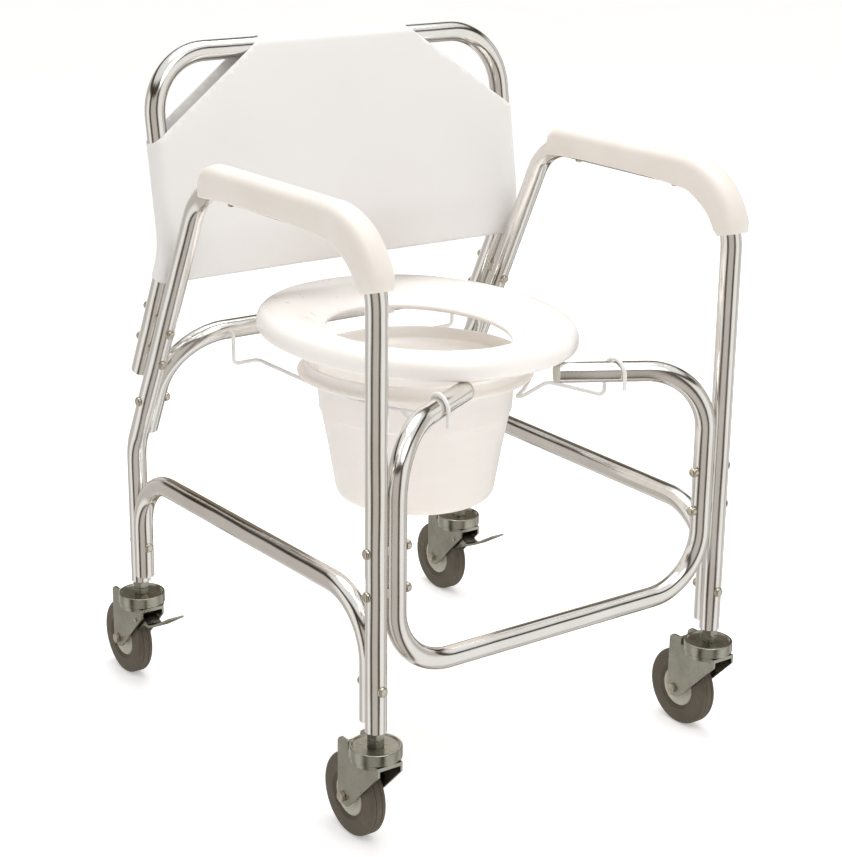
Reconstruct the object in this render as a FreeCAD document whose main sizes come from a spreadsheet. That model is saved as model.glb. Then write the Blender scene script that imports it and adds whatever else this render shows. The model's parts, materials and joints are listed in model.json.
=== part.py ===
import FreeCAD, Part
import math
import os
import Sketcher
from FreeCAD import Placement, Rotation, Vector

# Wheeled commode chair, in millimetres. +Z is up, the sitter faces -Y and +X is the sitter's left.
# The origin is on the floor, at the middle of the chair's bounding box.
# Distances called "back" in the sheet are measured rearwards from the front legs' axes.

DRIVING_SIZES = [
    ("tube_radius", 12.7, "outer radius of every frame tube"),
    ("bore_radius", 11.1, "inner radius of a tube at its open ends"),
    ("bend_radius", 76.0, "centre-line radius of the frame bends"),
    ("front_leg_x", 258.0, "front leg axis from the middle plane"),
    ("rear_leg_x", 266.0, "rear leg axis from the middle plane"),
    ("wheelbase", 550.0, "front leg axis to rear leg axis"),
    ("leg_end_z", 148.0, "lower end of the legs"),
    ("arm_z", 717.5, "axis of the arm tube"),
    ("arm_back", 362.7, "where the arm meets the slanted tube"),
    ("knee_z", 339.5, "where the slanted tube meets the rear leg"),
    ("brace_z", 303.0, "axis of the side brace"),
    ("brace_end_z", 158.0, "lower ends of the side brace"),
    ("nest_offset", 11.0, "axis spacing of a tube dished against its neighbour"),
    ("rail_z", 501.0, "axis of the rear seat rail"),
    ("rail_leg_x", 254.0, "legs of the rear seat rail from the middle plane"),
    ("rail_end_z", 366.0, "lower ends of the rear seat rail"),
    ("rail_bend", 79.0, "centre-line radius of the rear seat rail's bends"),
    ("frame_x", 232.0, "uprights of the front frame from the middle plane"),
    ("frame_top_z", 495.6, "axis of the front frame's seat stubs"),
    ("frame_low_z", 214.0, "axis of the front frame's bottom rail"),
    ("stub_end_x", 72.4, "inner end of each seat stub"),
    ("stub_angle", 30.2, "degrees that each stub runs rearwards"),
    ("back_spacing", 32.2, "slanted tube axis to back tube axis, square to both"),
    ("back_tube_x", 264.0, "legs of the back tube from the middle plane"),
    ("back_end_z", 447.0, "lower ends of the back tube"),
    ("back_bend_z", 622.0, "where the back tube changes its lean"),
    ("back_top_z", 856.3, "axis of the back tube's top rail"),
    ("back_lean", 38.0, "how far the upper part leans back over its height"),
    ("pad_width", 38.0, "width of the arm pads"),
    ("pad_round", 13.0, "rounding of the pads' outer edges"),
    ("pad_top_z", 746.5, "top of the arm pads"),
    ("pad_low_z", 711.5, "lower edge of the arm pads along the arm"),
    ("pad_end_z", 655.0, "front lower end of the arm pads"),
    ("pad_rear_back", 361.0, "rear end of the arm pads"),
    ("pad_wrap", 26.0, "how far the pad stands from the tube axis on the front bend"),
    ("pad_step_back", 104.0, "where the pad's lower edge starts to drop round the bend"),
    ("pad_sleeve_back", 90.0, "where that drop ends"),
    ("pad_nose", 90.0, "outer radius of the pad over the front bend"),
    ("sling_thickness", 1.5, "cloth thickness of the backrest sleeve"),
    ("sling_gap", 0.3, "gap between the sleeve and the back tube"),
    ("sling_low_z", 584.0, "lower edge of the sleeve"),
    ("sling_cut_x", 112.0, "where each corner cut meets the top rail"),
    ("sling_cut_z", 752.0, "where each corner cut meets the side"),
    ("seat_low_z", 508.6, "underside of the seat"),
    ("seat_thickness", 30.0, "height of the seat ring"),
    ("seat_half_width", 185.0, "half width of the seat"),
    ("seat_half_length", 224.0, "half length of the seat"),
    ("seat_back", 292.0, "middle of the seat"),
    ("hole_half_width", 106.0, "half width of the seat hole"),
    ("hole_half_length", 138.0, "half length of the seat hole"),
    ("hole_back", 287.0, "middle of the seat hole"),
    ("seat_fullness", 2.15, "exponent of the seat's outline; 2 is an ellipse"),
    ("seat_round", 19.0, "rounding of the seat's upper edges"),
    ("seat_low_round", 7.0, "rounding of the seat's lower outer edge"),
    ("seat_groove", 13.2, "radius of the groove under the seat over the rear rail"),
    ("clip_x", 70.0, "seat hinge clips from the middle plane"),
    ("clip_width", 26.0, "width of a hinge clip"),
    ("clip_bore", 12.76, "inner radius of a hinge clip"),
    ("clip_outer", 16.2, "outer radius of a hinge clip"),
    ("pail_back", 290.0, "axis of the pail"),
    ("pail_low_z", 299.0, "underside of the pail"),
    ("pail_base_radius", 101.0, "radius at the foot of the pail"),
    ("pail_step_z", 419.0, "height of the pail's step"),
    ("pail_body_radius", 122.0, "radius under the step"),
    ("pail_neck_radius", 126.0, "radius under the flange"),
    ("pail_flange_z", 462.8, "underside of the flange"),
    ("pail_flange_radius", 151.0, "radius of the flange"),
    ("pail_collar_radius", 143.0, "outer radius of the collar above the flange"),
    ("pail_rim_z", 482.0, "top of the collar"),
    ("pail_wall", 2.5, "wall of the pail"),
    ("wire_radius", 2.5, "radius of the coated hanger wire"),
    ("wire_z", 460.0, "axis of the wire under the flange"),
    ("wire_hole", 2.6, "hole in the rear rail for the wire"),
    ("cup_radius", 30.9, "caster top cup"),
    ("cup_top_z", 131.0, "rim of the cup"),
    ("cup_low_z", 117.5, "lower edge of the cup"),
    ("stem_radius", 6.0, "threaded caster stem"),
    ("nut_flats", 19.0, "across the flats of the stem nuts"),
    ("nut_height", 8.4, "height of a stem nut"),
    ("caster_trail", 42.5, "swivel axis to wheel axle"),
    ("wheel_radius", 51.0, "tyre radius"),
    ("wheel_width", 23.0, "tyre width"),
    ("hub_radius", 26.0, "hub outer radius"),
    ("axle_radius", 4.0, "wheel axle"),
    ("running_gap", 0.05, "radial clearance of a running fit"),
    ("fork_width", 34.0, "outside width of the fork"),
    ("fork_inside", 28.4, "inside width of the fork"),
    ("fork_disc_radius", 29.5, "disc under the cup"),
    ("fork_nose_z", 105.0, "lower corner of the cheeks under the disc"),
    ("fork_top_z", 126.0, "top of the cheeks behind the cup"),
    ("fork_roof_z", 112.0, "underside of the plate between the cheeks"),
    ("fork_open_z", 115.0, "where the cheeks stand apart behind the cup"),
    ("ball_radius", 3.0, "swivel bearing ball"),
    ("ball_circle", 23.5, "radius of the ball circle"),
    ("pedal_width", 21.0, "brake pedal"),
    ("pedal_pin_radius", 2.5, "brake pedal pin"),
    ("pedal_pin_ahead", 13.0, "pedal pin ahead of the swivel axis"),
    ("pedal_pin_z", 97.0, "height of the pedal pin"),
    ("bolt_radius", 3.0, "frame bolts"),
    ("bolt_head_radius", 6.3, "domed bolt head"),
    ("bolt_head_height", 3.8, "domed bolt head"),
    ("bolt_gap", 0.1, "radial clearance of a bolt in its hole"),
    ("front_bolt_high_z", 366.0, "upper bolt between front leg and front frame"),
    ("front_bolt_low_z", 315.0, "lower bolt between front leg and front frame"),
    ("back_bolt_high_z", 517.6, "upper bolt between slanted tube and back tube"),
    ("back_bolt_low_z", 472.6, "lower bolt between slanted tube and back tube"),
    ("rail_bolt_z", 410.0, "bolt of the rear seat rail"),
    ("brace_bolt_z", 201.0, "bolts of the side brace"),
    ("screw_radius", 2.2, "arm pad screws"),
    ("screw_front_back", 106.0, "front arm pad screw"),
    ("screw_rear_back", 294.0, "rear arm pad screw"),
]

doc = FreeCAD.newDocument("commode_chair")
sheet = doc.addObject("Spreadsheet::Sheet", "sizes")
for row, (alias, value, meaning) in enumerate(DRIVING_SIZES, start=1):
    sheet.set(f"A{row}", meaning)
    sheet.set(f"B{row}", str(value))
    sheet.setAlias(f"B{row}", alias)
doc.recompute()

UP = Vector(0, 0, 1)
SIDES = (("left", 1), ("right", -1))
sub_parts = []


def size(alias):
    """One driving dimension, read from the sheet."""
    return float(getattr(sheet, alias))


# ---------------------------------------------------------------- places

depth = size("cup_radius") + size("wheelbase") + size("caster_trail") + size("wheel_radius")
front_leg_y = size("cup_radius") - depth / 2
toe_slope = (size("rear_leg_x") - size("front_leg_x")) / size("wheelbase")
toe_angle = math.degrees(math.atan(toe_slope))
slant_slope = (size("wheelbase") - size("arm_back")) / (size("arm_z") - size("knee_z"))
slant_angle = math.atan(slant_slope)
slant_down = Vector(0, math.sin(slant_angle), -math.cos(slant_angle))
slant_rearward = Vector(0, math.cos(slant_angle), math.sin(slant_angle))


def at(x, back, z):
    """A point given by its distance behind the front legs."""
    return Vector(x, front_leg_y + back, z)


def slant_back(z):
    """How far behind the front legs the slanted tube's axis is at height z."""
    return size("arm_back") + slant_slope * (size("arm_z") - z)


def side_place(sign):
    """The frame of one side: its origin is under the front leg and its Y axis runs to the rear leg."""
    turn = Rotation(UP, -sign * toe_angle)
    return Placement(Vector(sign * size("front_leg_x"), front_leg_y, 0), turn)


def side_point(sign, back, z, outboard=0.0):
    """A point of a side frame, moved outboard square to it."""
    return side_place(sign).multVec(Vector(sign * outboard, back, z))


def caster_places():
    """Name, X and distance behind the front legs of each caster's swivel axis."""
    ends = (("front", size("front_leg_x"), 0.0), ("rear", size("rear_leg_x"), size("wheelbase")))
    for end, x, back in ends:
        for side, sign in SIDES:
            yield f"{end}_{side}", sign * x, back


# ---------------------------------------------------------------- document helpers

def keep(thing, label):
    """Names an object as a sub-part, which is then written to its own file."""
    thing.Label = label
    sub_parts.append(thing)
    return thing


def new_body(name, placement=None):
    body = doc.addObject("PartDesign::Body", name)
    if placement is not None:
        body.Placement = placement
    return body


def new_sketch(body, name, plane_role, height=None):
    """A sketch on one of the body's own origin planes, raised by a sheet value."""
    plane = [f for f in body.Origin.OriginFeatures if f.Role == plane_role][0]
    drawing = body.newObject("Sketcher::SketchObject", name)
    drawing.AttachmentSupport = [(plane, "")]
    drawing.MapMode = "FlatFace"
    if height is not None:
        drawing.setExpression(".AttachmentOffset.Base.z", height)
    doc.recompute()
    return drawing


def number(drawing, text):
    return float(drawing.evalExpression(text))


def pin_point(drawing, geometry, end, x_text, y_text):
    """Fixes one point of a sketch by two expressions."""
    for kind, axis, text in (("DistanceX", -2, x_text), ("DistanceY", -1, y_text)):
        value = number(drawing, text)
        if abs(value) < 1e-7:
            drawing.addConstraint(Sketcher.Constraint("PointOnObject", geometry, end, axis))
            continue
        index = drawing.addConstraint(Sketcher.Constraint(kind, -1, 1, geometry, end, value))
        drawing.setExpression(f"Constraints[{index}]", text)


def draw_outline(drawing, corners, closed=True):
    """Straight lines joined by tangent arcs.

    Each corner is (x, y) or (x, y, radius), as expressions over the sheet.
    """
    texts = [tuple(str(item) for item in corner) for corner in corners]
    points = [Vector(number(drawing, c[0]), number(drawing, c[1]), 0) for c in texts]
    count = len(points)
    spans = count if closed else count - 1
    trims = []
    for i, corner in enumerate(texts):
        if len(corner) == 2:
            trims.append(0.0)
            continue
        before = points[i - 1] - points[i]
        after = points[(i + 1) % count] - points[i]
        half_turn = (math.pi - before.getAngle(after)) / 2
        trims.append(number(drawing, corner[2]) * math.tan(half_turn))
    lines = []
    for i in range(spans):
        start, stop = points[i], points[(i + 1) % count]
        along = (stop - start).normalize()
        edge = Part.LineSegment(start + along * trims[i], stop - along * trims[(i + 1) % count])
        lines.append(drawing.addGeometry(edge, False))
    for i, corner in enumerate(texts):
        first_or_last = i == 0 or i == count - 1
        if not closed and first_or_last:
            line, end = (lines[0], 1) if i == 0 else (lines[-1], 2)
            pin_point(drawing, line, end, corner[0], corner[1])
            continue
        before, after = lines[i - 1], lines[i]
        if len(corner) == 2:
            drawing.addConstraint(Sketcher.Constraint("Coincident", before, 2, after, 1))
            pin_point(drawing, after, 1, corner[0], corner[1])
            continue
        draw_corner(drawing, points[i], before, after, corner)


def draw_corner(drawing, corner_point, before, after, corner):
    """A tangent arc between two lines, placed by the point where the lines would meet."""
    entry = drawing.getPoint(before, 2)
    leave = drawing.getPoint(after, 1)
    radius = number(drawing, corner[2])
    inward = ((entry + leave) * 0.5 - corner_point).normalize()
    reach = (entry - corner_point).Length
    centre = corner_point + inward * math.hypot(radius, reach)
    middle = centre - inward * radius
    arc = drawing.addGeometry(Part.Arc(entry, middle, leave), False)
    begins = (drawing.getPoint(arc, 1) - entry).Length < (drawing.getPoint(arc, 2) - entry).Length
    into, out = (1, 2) if begins else (2, 1)
    drawing.addConstraint(Sketcher.Constraint("Tangent", before, 2, arc, into))
    drawing.addConstraint(Sketcher.Constraint("Tangent", arc, out, after, 1))
    index = drawing.addConstraint(Sketcher.Constraint("Radius", arc, radius))
    drawing.setExpression(f"Constraints[{index}]", corner[2])
    mark = drawing.addGeometry(Part.Point(corner_point), True)
    drawing.addConstraint(Sketcher.Constraint("PointOnObject", mark, 1, before))
    drawing.addConstraint(Sketcher.Constraint("PointOnObject", mark, 1, after))
    pin_point(drawing, mark, 1, corner[0], corner[1])


def draw_circle(drawing, x_text, y_text, radius_text):
    centre = Vector(number(drawing, x_text), number(drawing, y_text), 0)
    ring = drawing.addGeometry(Part.Circle(centre, UP, number(drawing, radius_text)), False)
    index = drawing.addConstraint(Sketcher.Constraint("Radius", ring, number(drawing, radius_text)))
    drawing.setExpression(f"Constraints[{index}]", radius_text)
    pin_point(drawing, ring, 3, x_text, y_text)


def pad(body, drawing, length, both_ways=False):
    feature = body.newObject("PartDesign::Pad", drawing.Name + "_pad")
    feature.Profile = (drawing, [""])
    feature.setExpression("Length", length)
    feature.Midplane = both_ways
    doc.recompute()
    return feature


def pocket(body, drawing, length, both_ways=False, reverse=False):
    feature = body.newObject("PartDesign::Pocket", drawing.Name + "_pocket")
    feature.Profile = (drawing, [""])
    feature.setExpression("Length", length)
    feature.Midplane = both_ways
    feature.Reversed = reverse
    doc.recompute()
    return feature


def revolve(body, drawing, axis):
    feature = body.newObject("PartDesign::Revolution", drawing.Name + "_turned")
    feature.Profile = (drawing, [""])
    feature.ReferenceAxis = (drawing, [axis])
    feature.Angle = 360
    doc.recompute()
    return feature


def turned_body(name, placement, corners, axis="V_Axis", plane_role="XZ_Plane"):
    """A body of revolution from a closed profile."""
    body = new_body(name, placement)
    drawing = new_sketch(body, name + "_profile", plane_role)
    draw_outline(drawing, corners)
    revolve(body, drawing, axis)
    return body


def bent_tube_body(name, placement, corners, start_height, start_back="0"):
    """A tube along a flat path that starts straight up from start_height."""
    body = new_body(name, placement)
    path = new_sketch(body, name + "_path", "YZ_Plane")
    draw_outline(path, corners, closed=False)
    section = new_sketch(body, name + "_section", "XY_Plane", start_height)
    draw_circle(section, "0", start_back, "sizes.tube_radius")
    doc.recompute()
    sweep = body.newObject("PartDesign::AdditivePipe", name + "_sweep")
    sweep.Profile = (section, [""])
    sweep.Spine = (path, [f"Edge{i + 1}" for i in range(len(path.Shape.Edges))])
    doc.recompute()
    return body


def set_shape(label, shape):
    """A sub-part whose shape neither a body nor a primitive can make."""
    thing = doc.addObject("Part::Feature", label)
    thing.Shape = shape
    thing.Placement = Placement()
    return thing


def cut_away(label, base, tools):
    """The base with every tool taken from it."""
    tool = tools[0]
    if len(tools) > 1:
        tool = doc.addObject("Part::MultiFuse", label + "_tools")
        tool.Shapes = tools
    result = doc.addObject("Part::Cut", label)
    result.Base = base
    result.Tool = tool
    doc.recompute()
    return result


# ---------------------------------------------------------------- shape helpers

def rounded_wire(points, radii):
    """Straight runs joined by tangent arcs; radii has one value for each inner point."""
    edges = []
    cursor = points[0]
    for i, radius in enumerate(radii, start=1):
        before = (points[i - 1] - points[i]).normalize()
        after = (points[i + 1] - points[i]).normalize()
        half_turn = (math.pi - before.getAngle(after)) / 2
        reach = radius * math.tan(half_turn)
        entry = points[i] + before * reach
        leave = points[i] + after * reach
        inward = (before + after).normalize()
        middle = points[i] + inward * (radius / math.cos(half_turn) - radius)
        if (entry - cursor).Length > 1e-6:
            edges.append(Part.LineSegment(cursor, entry).toShape())
        edges.append(Part.Arc(entry, middle, leave).toShape())
        cursor = leave
    edges.append(Part.LineSegment(cursor, points[-1]).toShape())
    return Part.Wire(edges)


def swept_rod(points, radii, rod_radius):
    """A round rod along a bent path in space."""
    path = rounded_wire(points, radii)
    ring = Part.Wire(Part.makeCircle(rod_radius, points[0], points[1] - points[0]))
    return path.makePipeShell([ring], True, False)


def hex_bar(across_flats, height, base):
    radius = across_flats / math.sqrt(3)
    ring = [base + Vector(radius * math.cos(a), radius * math.sin(a), 0)
            for a in (math.radians(60 * k) for k in range(7))]
    bar = Part.Face(Part.makePolygon(ring)).extrude(Vector(0, 0, height))
    trim = radius - across_flats / 2
    dome = Part.makeCone(across_flats / 2 + height, across_flats / 2 - 0.2, height + trim, base)
    foot = Part.makeCone(across_flats / 2 - 0.2, across_flats / 2 + height, height + trim,
                         base)
    return bar.common(dome).common(foot)


def dome(radius, height):
    """A cap with a well rounded top, standing on the XY plane."""
    cap = Part.makeCylinder(radius, height)
    rim = [edge for edge in cap.Edges if edge.Closed and edge.CenterOfMass.z > height / 2]
    return cap.makeFillet(0.9 * height, rim)


def place_along(shape, start, direction):
    """The shape moved so that its Z axis runs along direction from start."""
    moved = shape.copy()
    moved.Placement = Placement(start, Rotation(UP, direction))
    return moved


def bolt_solids(start, direction, grip):
    """A domed bolt whose head sits at start, and the cap nut at the far end."""
    reach = 5.0
    cap_height = 4.0
    collar = reach - 1.5
    nut_radius = size("bolt_head_radius") - 0.4
    seat_gap = 0.1
    head_start = start - direction * seat_gap
    head = dome(size("bolt_head_radius"), size("bolt_head_height"))
    shank = Part.makeCylinder(size("bolt_radius"), grip + reach + seat_gap)
    bolt = place_along(shank, head_start, direction).fuse(place_along(head, head_start, -direction))
    nut = Part.makeCylinder(nut_radius, collar)
    nut = nut.fuse(place_along(dome(nut_radius, cap_height), Vector(0, 0, collar), UP))
    nut = nut.cut(Part.makeCylinder(size("bolt_radius"), reach))
    nut_start = start + direction * (grip + seat_gap)
    return [bolt.removeSplitter(), place_along(nut.removeSplitter(), nut_start, direction)]


def mirrored(shapes):
    return shapes + [shape.mirror(Vector(), Vector(1, 0, 0)) for shape in shapes]


def compound(label, shapes):
    return keep(set_shape(label, Part.makeCompound(shapes)), label)


# ---------------------------------------------------------------- fasteners

def bolt_runs():
    """Group, start, direction and grip of every frame bolt on the +X side."""
    tube = size("tube_radius")
    outward = (side_point(1, 0, 0, 1) - side_point(1, 0, 0)).normalize()
    rearward = (side_point(1, 1, 0) - side_point(1, 0, 0)).normalize()
    for z in (size("front_bolt_high_z"), size("front_bolt_low_z")):
        grip = size("front_leg_x") - size("frame_x") + 2 * tube
        yield "front_frame_bolts", at(size("front_leg_x") + tube, 0, z), Vector(-1, 0, 0), grip
    for z in (size("back_bolt_high_z"), size("back_bolt_low_z")):
        across = Vector(rearward.x * slant_rearward.y, rearward.y * slant_rearward.y, slant_rearward.z)
        start = side_point(1, slant_back(z), z) - across * tube
        yield "back_tube_bolts", start, across, size("back_spacing") + 2 * tube
    rail_bolt_z = size("rail_bolt_z")
    inner_face = size("rail_leg_x") - tube
    start = side_point(1, slant_back(rail_bolt_z), rail_bolt_z, tube)
    yield "rear_rail_bolts", start, -outward, start.x - inner_face
    brace_bolt_z = size("brace_bolt_z")
    grip = 2 * tube + size("nest_offset")
    yield "brace_bolts", side_point(1, -tube, brace_bolt_z), rearward, grip
    rear_face = size("wheelbase") - size("nest_offset") - tube
    yield "brace_bolts", side_point(1, rear_face, brace_bolt_z), rearward, grip


def make_bolts():
    """Every bolt group, and the clearance holes that the tubes need."""
    groups = {}
    holes = []
    for group, start, direction, grip in bolt_runs():
        groups.setdefault(group, []).extend(bolt_solids(start, direction, grip))
        drill = Part.makeCylinder(size("bolt_radius") + size("bolt_gap"), grip + 4)
        holes.append(place_along(drill, start - direction * 2, direction))
    for group, solids in groups.items():
        compound(group, mirrored(solids))
    return set_shape("bolt_holes", Part.makeCompound(mirrored(holes)))


def saddle_block(centre, tube_axis, across, spacing, length):
    """The block from which a spacer between two parallel tubes is hollowed."""
    half_width = 4.6
    third = tube_axis.cross(across).normalize()
    corner = centre - across * (spacing / 2) - third * half_width - tube_axis * (length / 2)
    plate = Part.Face(Part.makePolygon([corner, corner + third * 2 * half_width,
                                        corner + third * 2 * half_width + across * spacing,
                                        corner + across * spacing, corner]))
    return plate.extrude(tube_axis * length)


def make_spacers(holes, tubes):
    """Saddle spacers where two tubes are bolted side by side, hollowed to both of them."""
    tube = size("tube_radius")
    length = 11.0
    spacers = {"front_frame_spacers": [], "back_tube_spacers": []}
    for group, start, direction, grip in bolt_runs():
        if group == "front_frame_bolts":
            middle = start + direction * (grip / 2)
            block = saddle_block(middle, UP, direction, grip - 2 * tube, length)
            spacers["front_frame_spacers"].append(block)
        if group == "back_tube_bolts":
            middle = start + direction * (grip / 2)
            block = saddle_block(middle, slant_down, direction, grip - 2 * tube, length)
            spacers["back_tube_spacers"].append(block)
    neighbours = [holes.Shape] + [tube_part.Shape for tube_part in tubes]
    for group, blocks in spacers.items():
        compound(group, [block.cut(neighbours) for block in mirrored(blocks)])


def make_pad_screws():
    """Two pan-head screws up through each arm tube into its pad."""
    length, head_radius, head_height = 34.0, 4.6, 2.6
    solids = []
    for back in (size("screw_front_back"), size("screw_rear_back")):
        start = side_point(1, back, size("arm_z") - size("tube_radius"))
        shank = place_along(Part.makeCylinder(size("screw_radius"), length), start, UP)
        head = place_along(dome(head_radius, head_height), start, -UP)
        solids.append(shank.fuse(head).removeSplitter())
    compound("arm_pad_screws", mirrored(solids))


# ---------------------------------------------------------------- frame tubes

def make_bores():
    """The open ends of the tubes, bored to the tube's inner radius."""
    bores = []
    deep = 44.0
    radius = size("bore_radius")
    for _, x, back in caster_places():
        bores.append(Part.makeCylinder(radius, deep + 2, at(x, back, size("leg_end_z") - 2)))
    for sign in (1, -1):
        start = back_tube_points(sign)[0] + slant_down
        bores.append(Part.makeCylinder(radius, deep, start, -slant_down))
        stub = stub_direction(sign)
        bores.append(Part.makeCylinder(radius, deep / 2 + 1, stub_end(sign) - stub, stub))
    return set_shape("tube_bores", Part.makeCompound(bores))


def make_side_tube(side, sign):
    """Front leg, arm, slanted back support and rear leg bent from one tube."""
    bend = "sizes.bend_radius"
    corners = [
        ("0", "sizes.leg_end_z"),
        ("0", "sizes.arm_z", bend),
        ("sizes.arm_back", "sizes.arm_z", bend),
        ("sizes.wheelbase", "sizes.knee_z", bend),
        ("sizes.wheelbase", "sizes.leg_end_z"),
    ]
    return bent_tube_body(f"side_tube_blank_{side}", side_place(sign), corners, "sizes.leg_end_z")


def make_side_brace(side, sign):
    """Low brace between a front and a rear leg, with its ends turned down beside them."""
    bend = "sizes.bend_radius"
    front = "sizes.nest_offset"
    rear = "sizes.wheelbase - sizes.nest_offset"
    corners = [
        (front, "sizes.brace_end_z"),
        (front, "sizes.brace_z", bend),
        (rear, "sizes.brace_z", bend),
        (rear, "sizes.brace_end_z"),
    ]
    name = f"side_brace_blank_{side}"
    return bent_tube_body(name, side_place(sign), corners, "sizes.brace_end_z", front)


def make_rear_rail():
    """Rear seat rail: a flat U lying in the plane of the two slanted tubes."""
    z = size("rail_z")
    drop = (z - size("rail_end_z")) / math.cos(slant_angle)
    points = []
    for x, fall in ((1, drop), (1, 0), (-1, 0), (-1, drop)):
        points.append(at(x * size("rail_leg_x"), slant_back(z), z) + slant_down * fall)
    return set_shape("rear_seat_rail_blank", swept_rod(points, [size("rail_bend")] * 2, size("tube_radius")))


def back_tube_points(sign):
    """Lower end, lean change and top corner of one leg of the back tube."""
    offset = slant_rearward * size("back_spacing")
    x = sign * size("back_tube_x")

    def beside_slant(z):
        foot = z - offset.z
        return at(x, slant_back(foot) + offset.y, z)

    low = beside_slant(size("back_end_z"))
    bend = beside_slant(size("back_bend_z"))
    top = Vector(x, bend.y + size("back_lean"), size("back_top_z"))
    return [low, bend, top]


def make_back_tube():
    """The backrest's inverted U."""
    left = back_tube_points(1)
    right = back_tube_points(-1)
    points = left + right[::-1]
    return set_shape("back_tube_blank", swept_rod(points, [size("bend_radius")] * 4, size("tube_radius")))


def stub_direction(sign):
    """Unit vector from a stub's inner end towards its upright."""
    angle = math.radians(size("stub_angle"))
    return Vector(sign * math.cos(angle), -math.sin(angle), 0)


def stub_end(sign):
    back = (size("frame_x") - size("stub_end_x")) * math.tan(math.radians(size("stub_angle")))
    return at(sign * size("stub_end_x"), back, size("frame_top_z"))


def make_front_frame():
    """One tube: bottom rail, two uprights and two seat stubs turned in and back."""
    x = size("frame_x")
    points = [stub_end(1), at(x, 0, size("frame_top_z")), at(x, 0, size("frame_low_z")),
              at(-x, 0, size("frame_low_z")), at(-x, 0, size("frame_top_z")), stub_end(-1)]
    return set_shape("front_frame_blank", swept_rod(points, [size("bend_radius")] * 4, size("tube_radius")))


def make_end_plugs():
    """Moulded plugs in the open ends of the seat stubs."""
    collar_length, tail_length, rounding = 6.0, 20.0, 1.5
    plugs = []
    for sign in (1, -1):
        into = stub_direction(sign)
        start = stub_end(sign)
        collar = Part.makeCylinder(size("tube_radius"), collar_length, start - into * collar_length, into)
        rim = [e for e in collar.Edges if e.Closed and (e.CenterOfMass - start).Length > collar_length / 2]
        collar = collar.makeFillet(rounding, rim)
        tail = Part.makeCylinder(size("bore_radius") - size("running_gap"), tail_length, start, into)
        plugs.append(collar.fuse(tail))
    compound("stub_end_plugs", plugs)


# ---------------------------------------------------------------- soft parts

def make_arm_pad(side, sign):
    """Moulded arm pad: a saddle along the arm that wraps round the front bend."""
    body = new_body(f"arm_pad_blank_{side}", side_place(sign))
    drawing = new_sketch(body, f"arm_pad_outline_{side}", "YZ_Plane")
    inner_top = "sizes.arm_z - sizes.pad_wrap"
    corners = [
        ("sizes.pad_rear_back", "sizes.pad_top_z", "14"),
        ("sizes.pad_rear_back", "sizes.pad_low_z"),
        ("sizes.pad_step_back", "sizes.pad_low_z", "12"),
        ("sizes.pad_sleeve_back", inner_top, "12"),
        ("sizes.pad_wrap", inner_top, "34"),
        ("sizes.pad_wrap", "sizes.pad_end_z"),
        ("-sizes.pad_wrap", "sizes.pad_end_z"),
        ("-sizes.pad_wrap", "sizes.pad_top_z", "sizes.pad_nose"),
    ]
    draw_outline(drawing, corners)
    block = pad(body, drawing, "sizes.pad_width", both_ways=True)
    rounding = body.newObject("PartDesign::Fillet", f"arm_pad_rounding_{side}")
    rounding.Base = (block, outer_pad_edges(block.Shape))
    rounding.setExpression("Radius", "sizes.pad_round")
    doc.recompute()
    return body


def outer_pad_edges(shape):
    """Names of the straight top edges; the rounding runs on from them round the bends."""
    top = size("pad_top_z") - 0.1
    names = []
    for i, edge in enumerate(shape.Edges, start=1):
        runs_along = abs(edge.Vertexes[0].X - edge.Vertexes[-1].X) < 1e-6
        if runs_along and edge.BoundBox.ZMin > top:
            names.append(f"Edge{i}")
    return names


def lean_outline(offset, half_width):
    """A slab of the sleeve's side view: the back tube's axis widened by offset, then extruded."""
    low, bend, top = back_tube_points(1)
    low = bend + (low - bend) * ((bend.z - size("sling_low_z")) / (bend.z - low.z))
    low, bend, top = [Vector(-half_width, p.y, p.z) for p in (low, bend, top)]
    lower = (bend - low).normalize()
    upper = (top - bend).normalize()
    turn = lower.getAngle(upper)
    walls = []
    for way in (-1, 1):
        square_low = Vector(0, lower.z, -lower.y) * (way * offset)
        square_top = Vector(0, upper.z, -upper.y) * (way * offset)
        corner = bend + (square_low + square_top).normalize() * (way * way * offset / math.cos(turn / 2))
        radius = size("bend_radius") + way * offset * (-1 if lower.y < 0 < upper.y else 1)
        walls.append(rounded_wire([low + square_low, corner, top + square_top], [radius]))
    cap_top = top + upper * offset
    cap = Part.Arc(walls[0].Vertexes[-1].Point, cap_top, walls[1].Vertexes[-1].Point).toShape()
    foot = Part.makeLine(walls[0].Vertexes[0].Point, walls[1].Vertexes[0].Point)
    ring = Part.Wire(Part.__sortEdges__(walls[0].Edges + walls[1].Edges + [cap, foot]))
    return Part.Face(ring).extrude(Vector(2 * half_width, 0, 0))


def make_sling():
    """Backrest sleeve: two panels of cloth closed round the top rail and the sides."""
    clear = size("tube_radius") + size("sling_gap")
    thick = size("sling_thickness")
    half = size("back_tube_x") + clear
    skin = lean_outline(clear + thick, half + thick)
    room = lean_outline(clear, half)
    slot = room.copy()
    slot.translate(Vector(0, 0, -1.0))
    sleeve = skin.cut(room).cut(slot)
    top_z = size("back_top_z") + clear + thick + 5
    slope = (size("sling_cut_z") - size("back_top_z") - size("tube_radius")) / (half - size("sling_cut_x"))
    for sign in (1, -1):
        inner = size("sling_cut_x") + (top_z - size("back_top_z") - size("tube_radius")) / slope
        outer_x = half + 20
        outer_z = size("sling_cut_z") + slope * 20
        corners = [Vector(sign * inner, -400, top_z), Vector(sign * outer_x, -400, outer_z),
                   Vector(sign * outer_x, -400, top_z)]
        wedge = Part.Face(Part.makePolygon(corners + corners[:1])).extrude(Vector(0, 900, 0))
        sleeve = sleeve.cut(wedge)
    keep(set_shape("backrest_sling", sleeve), "backrest_sling")


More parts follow.
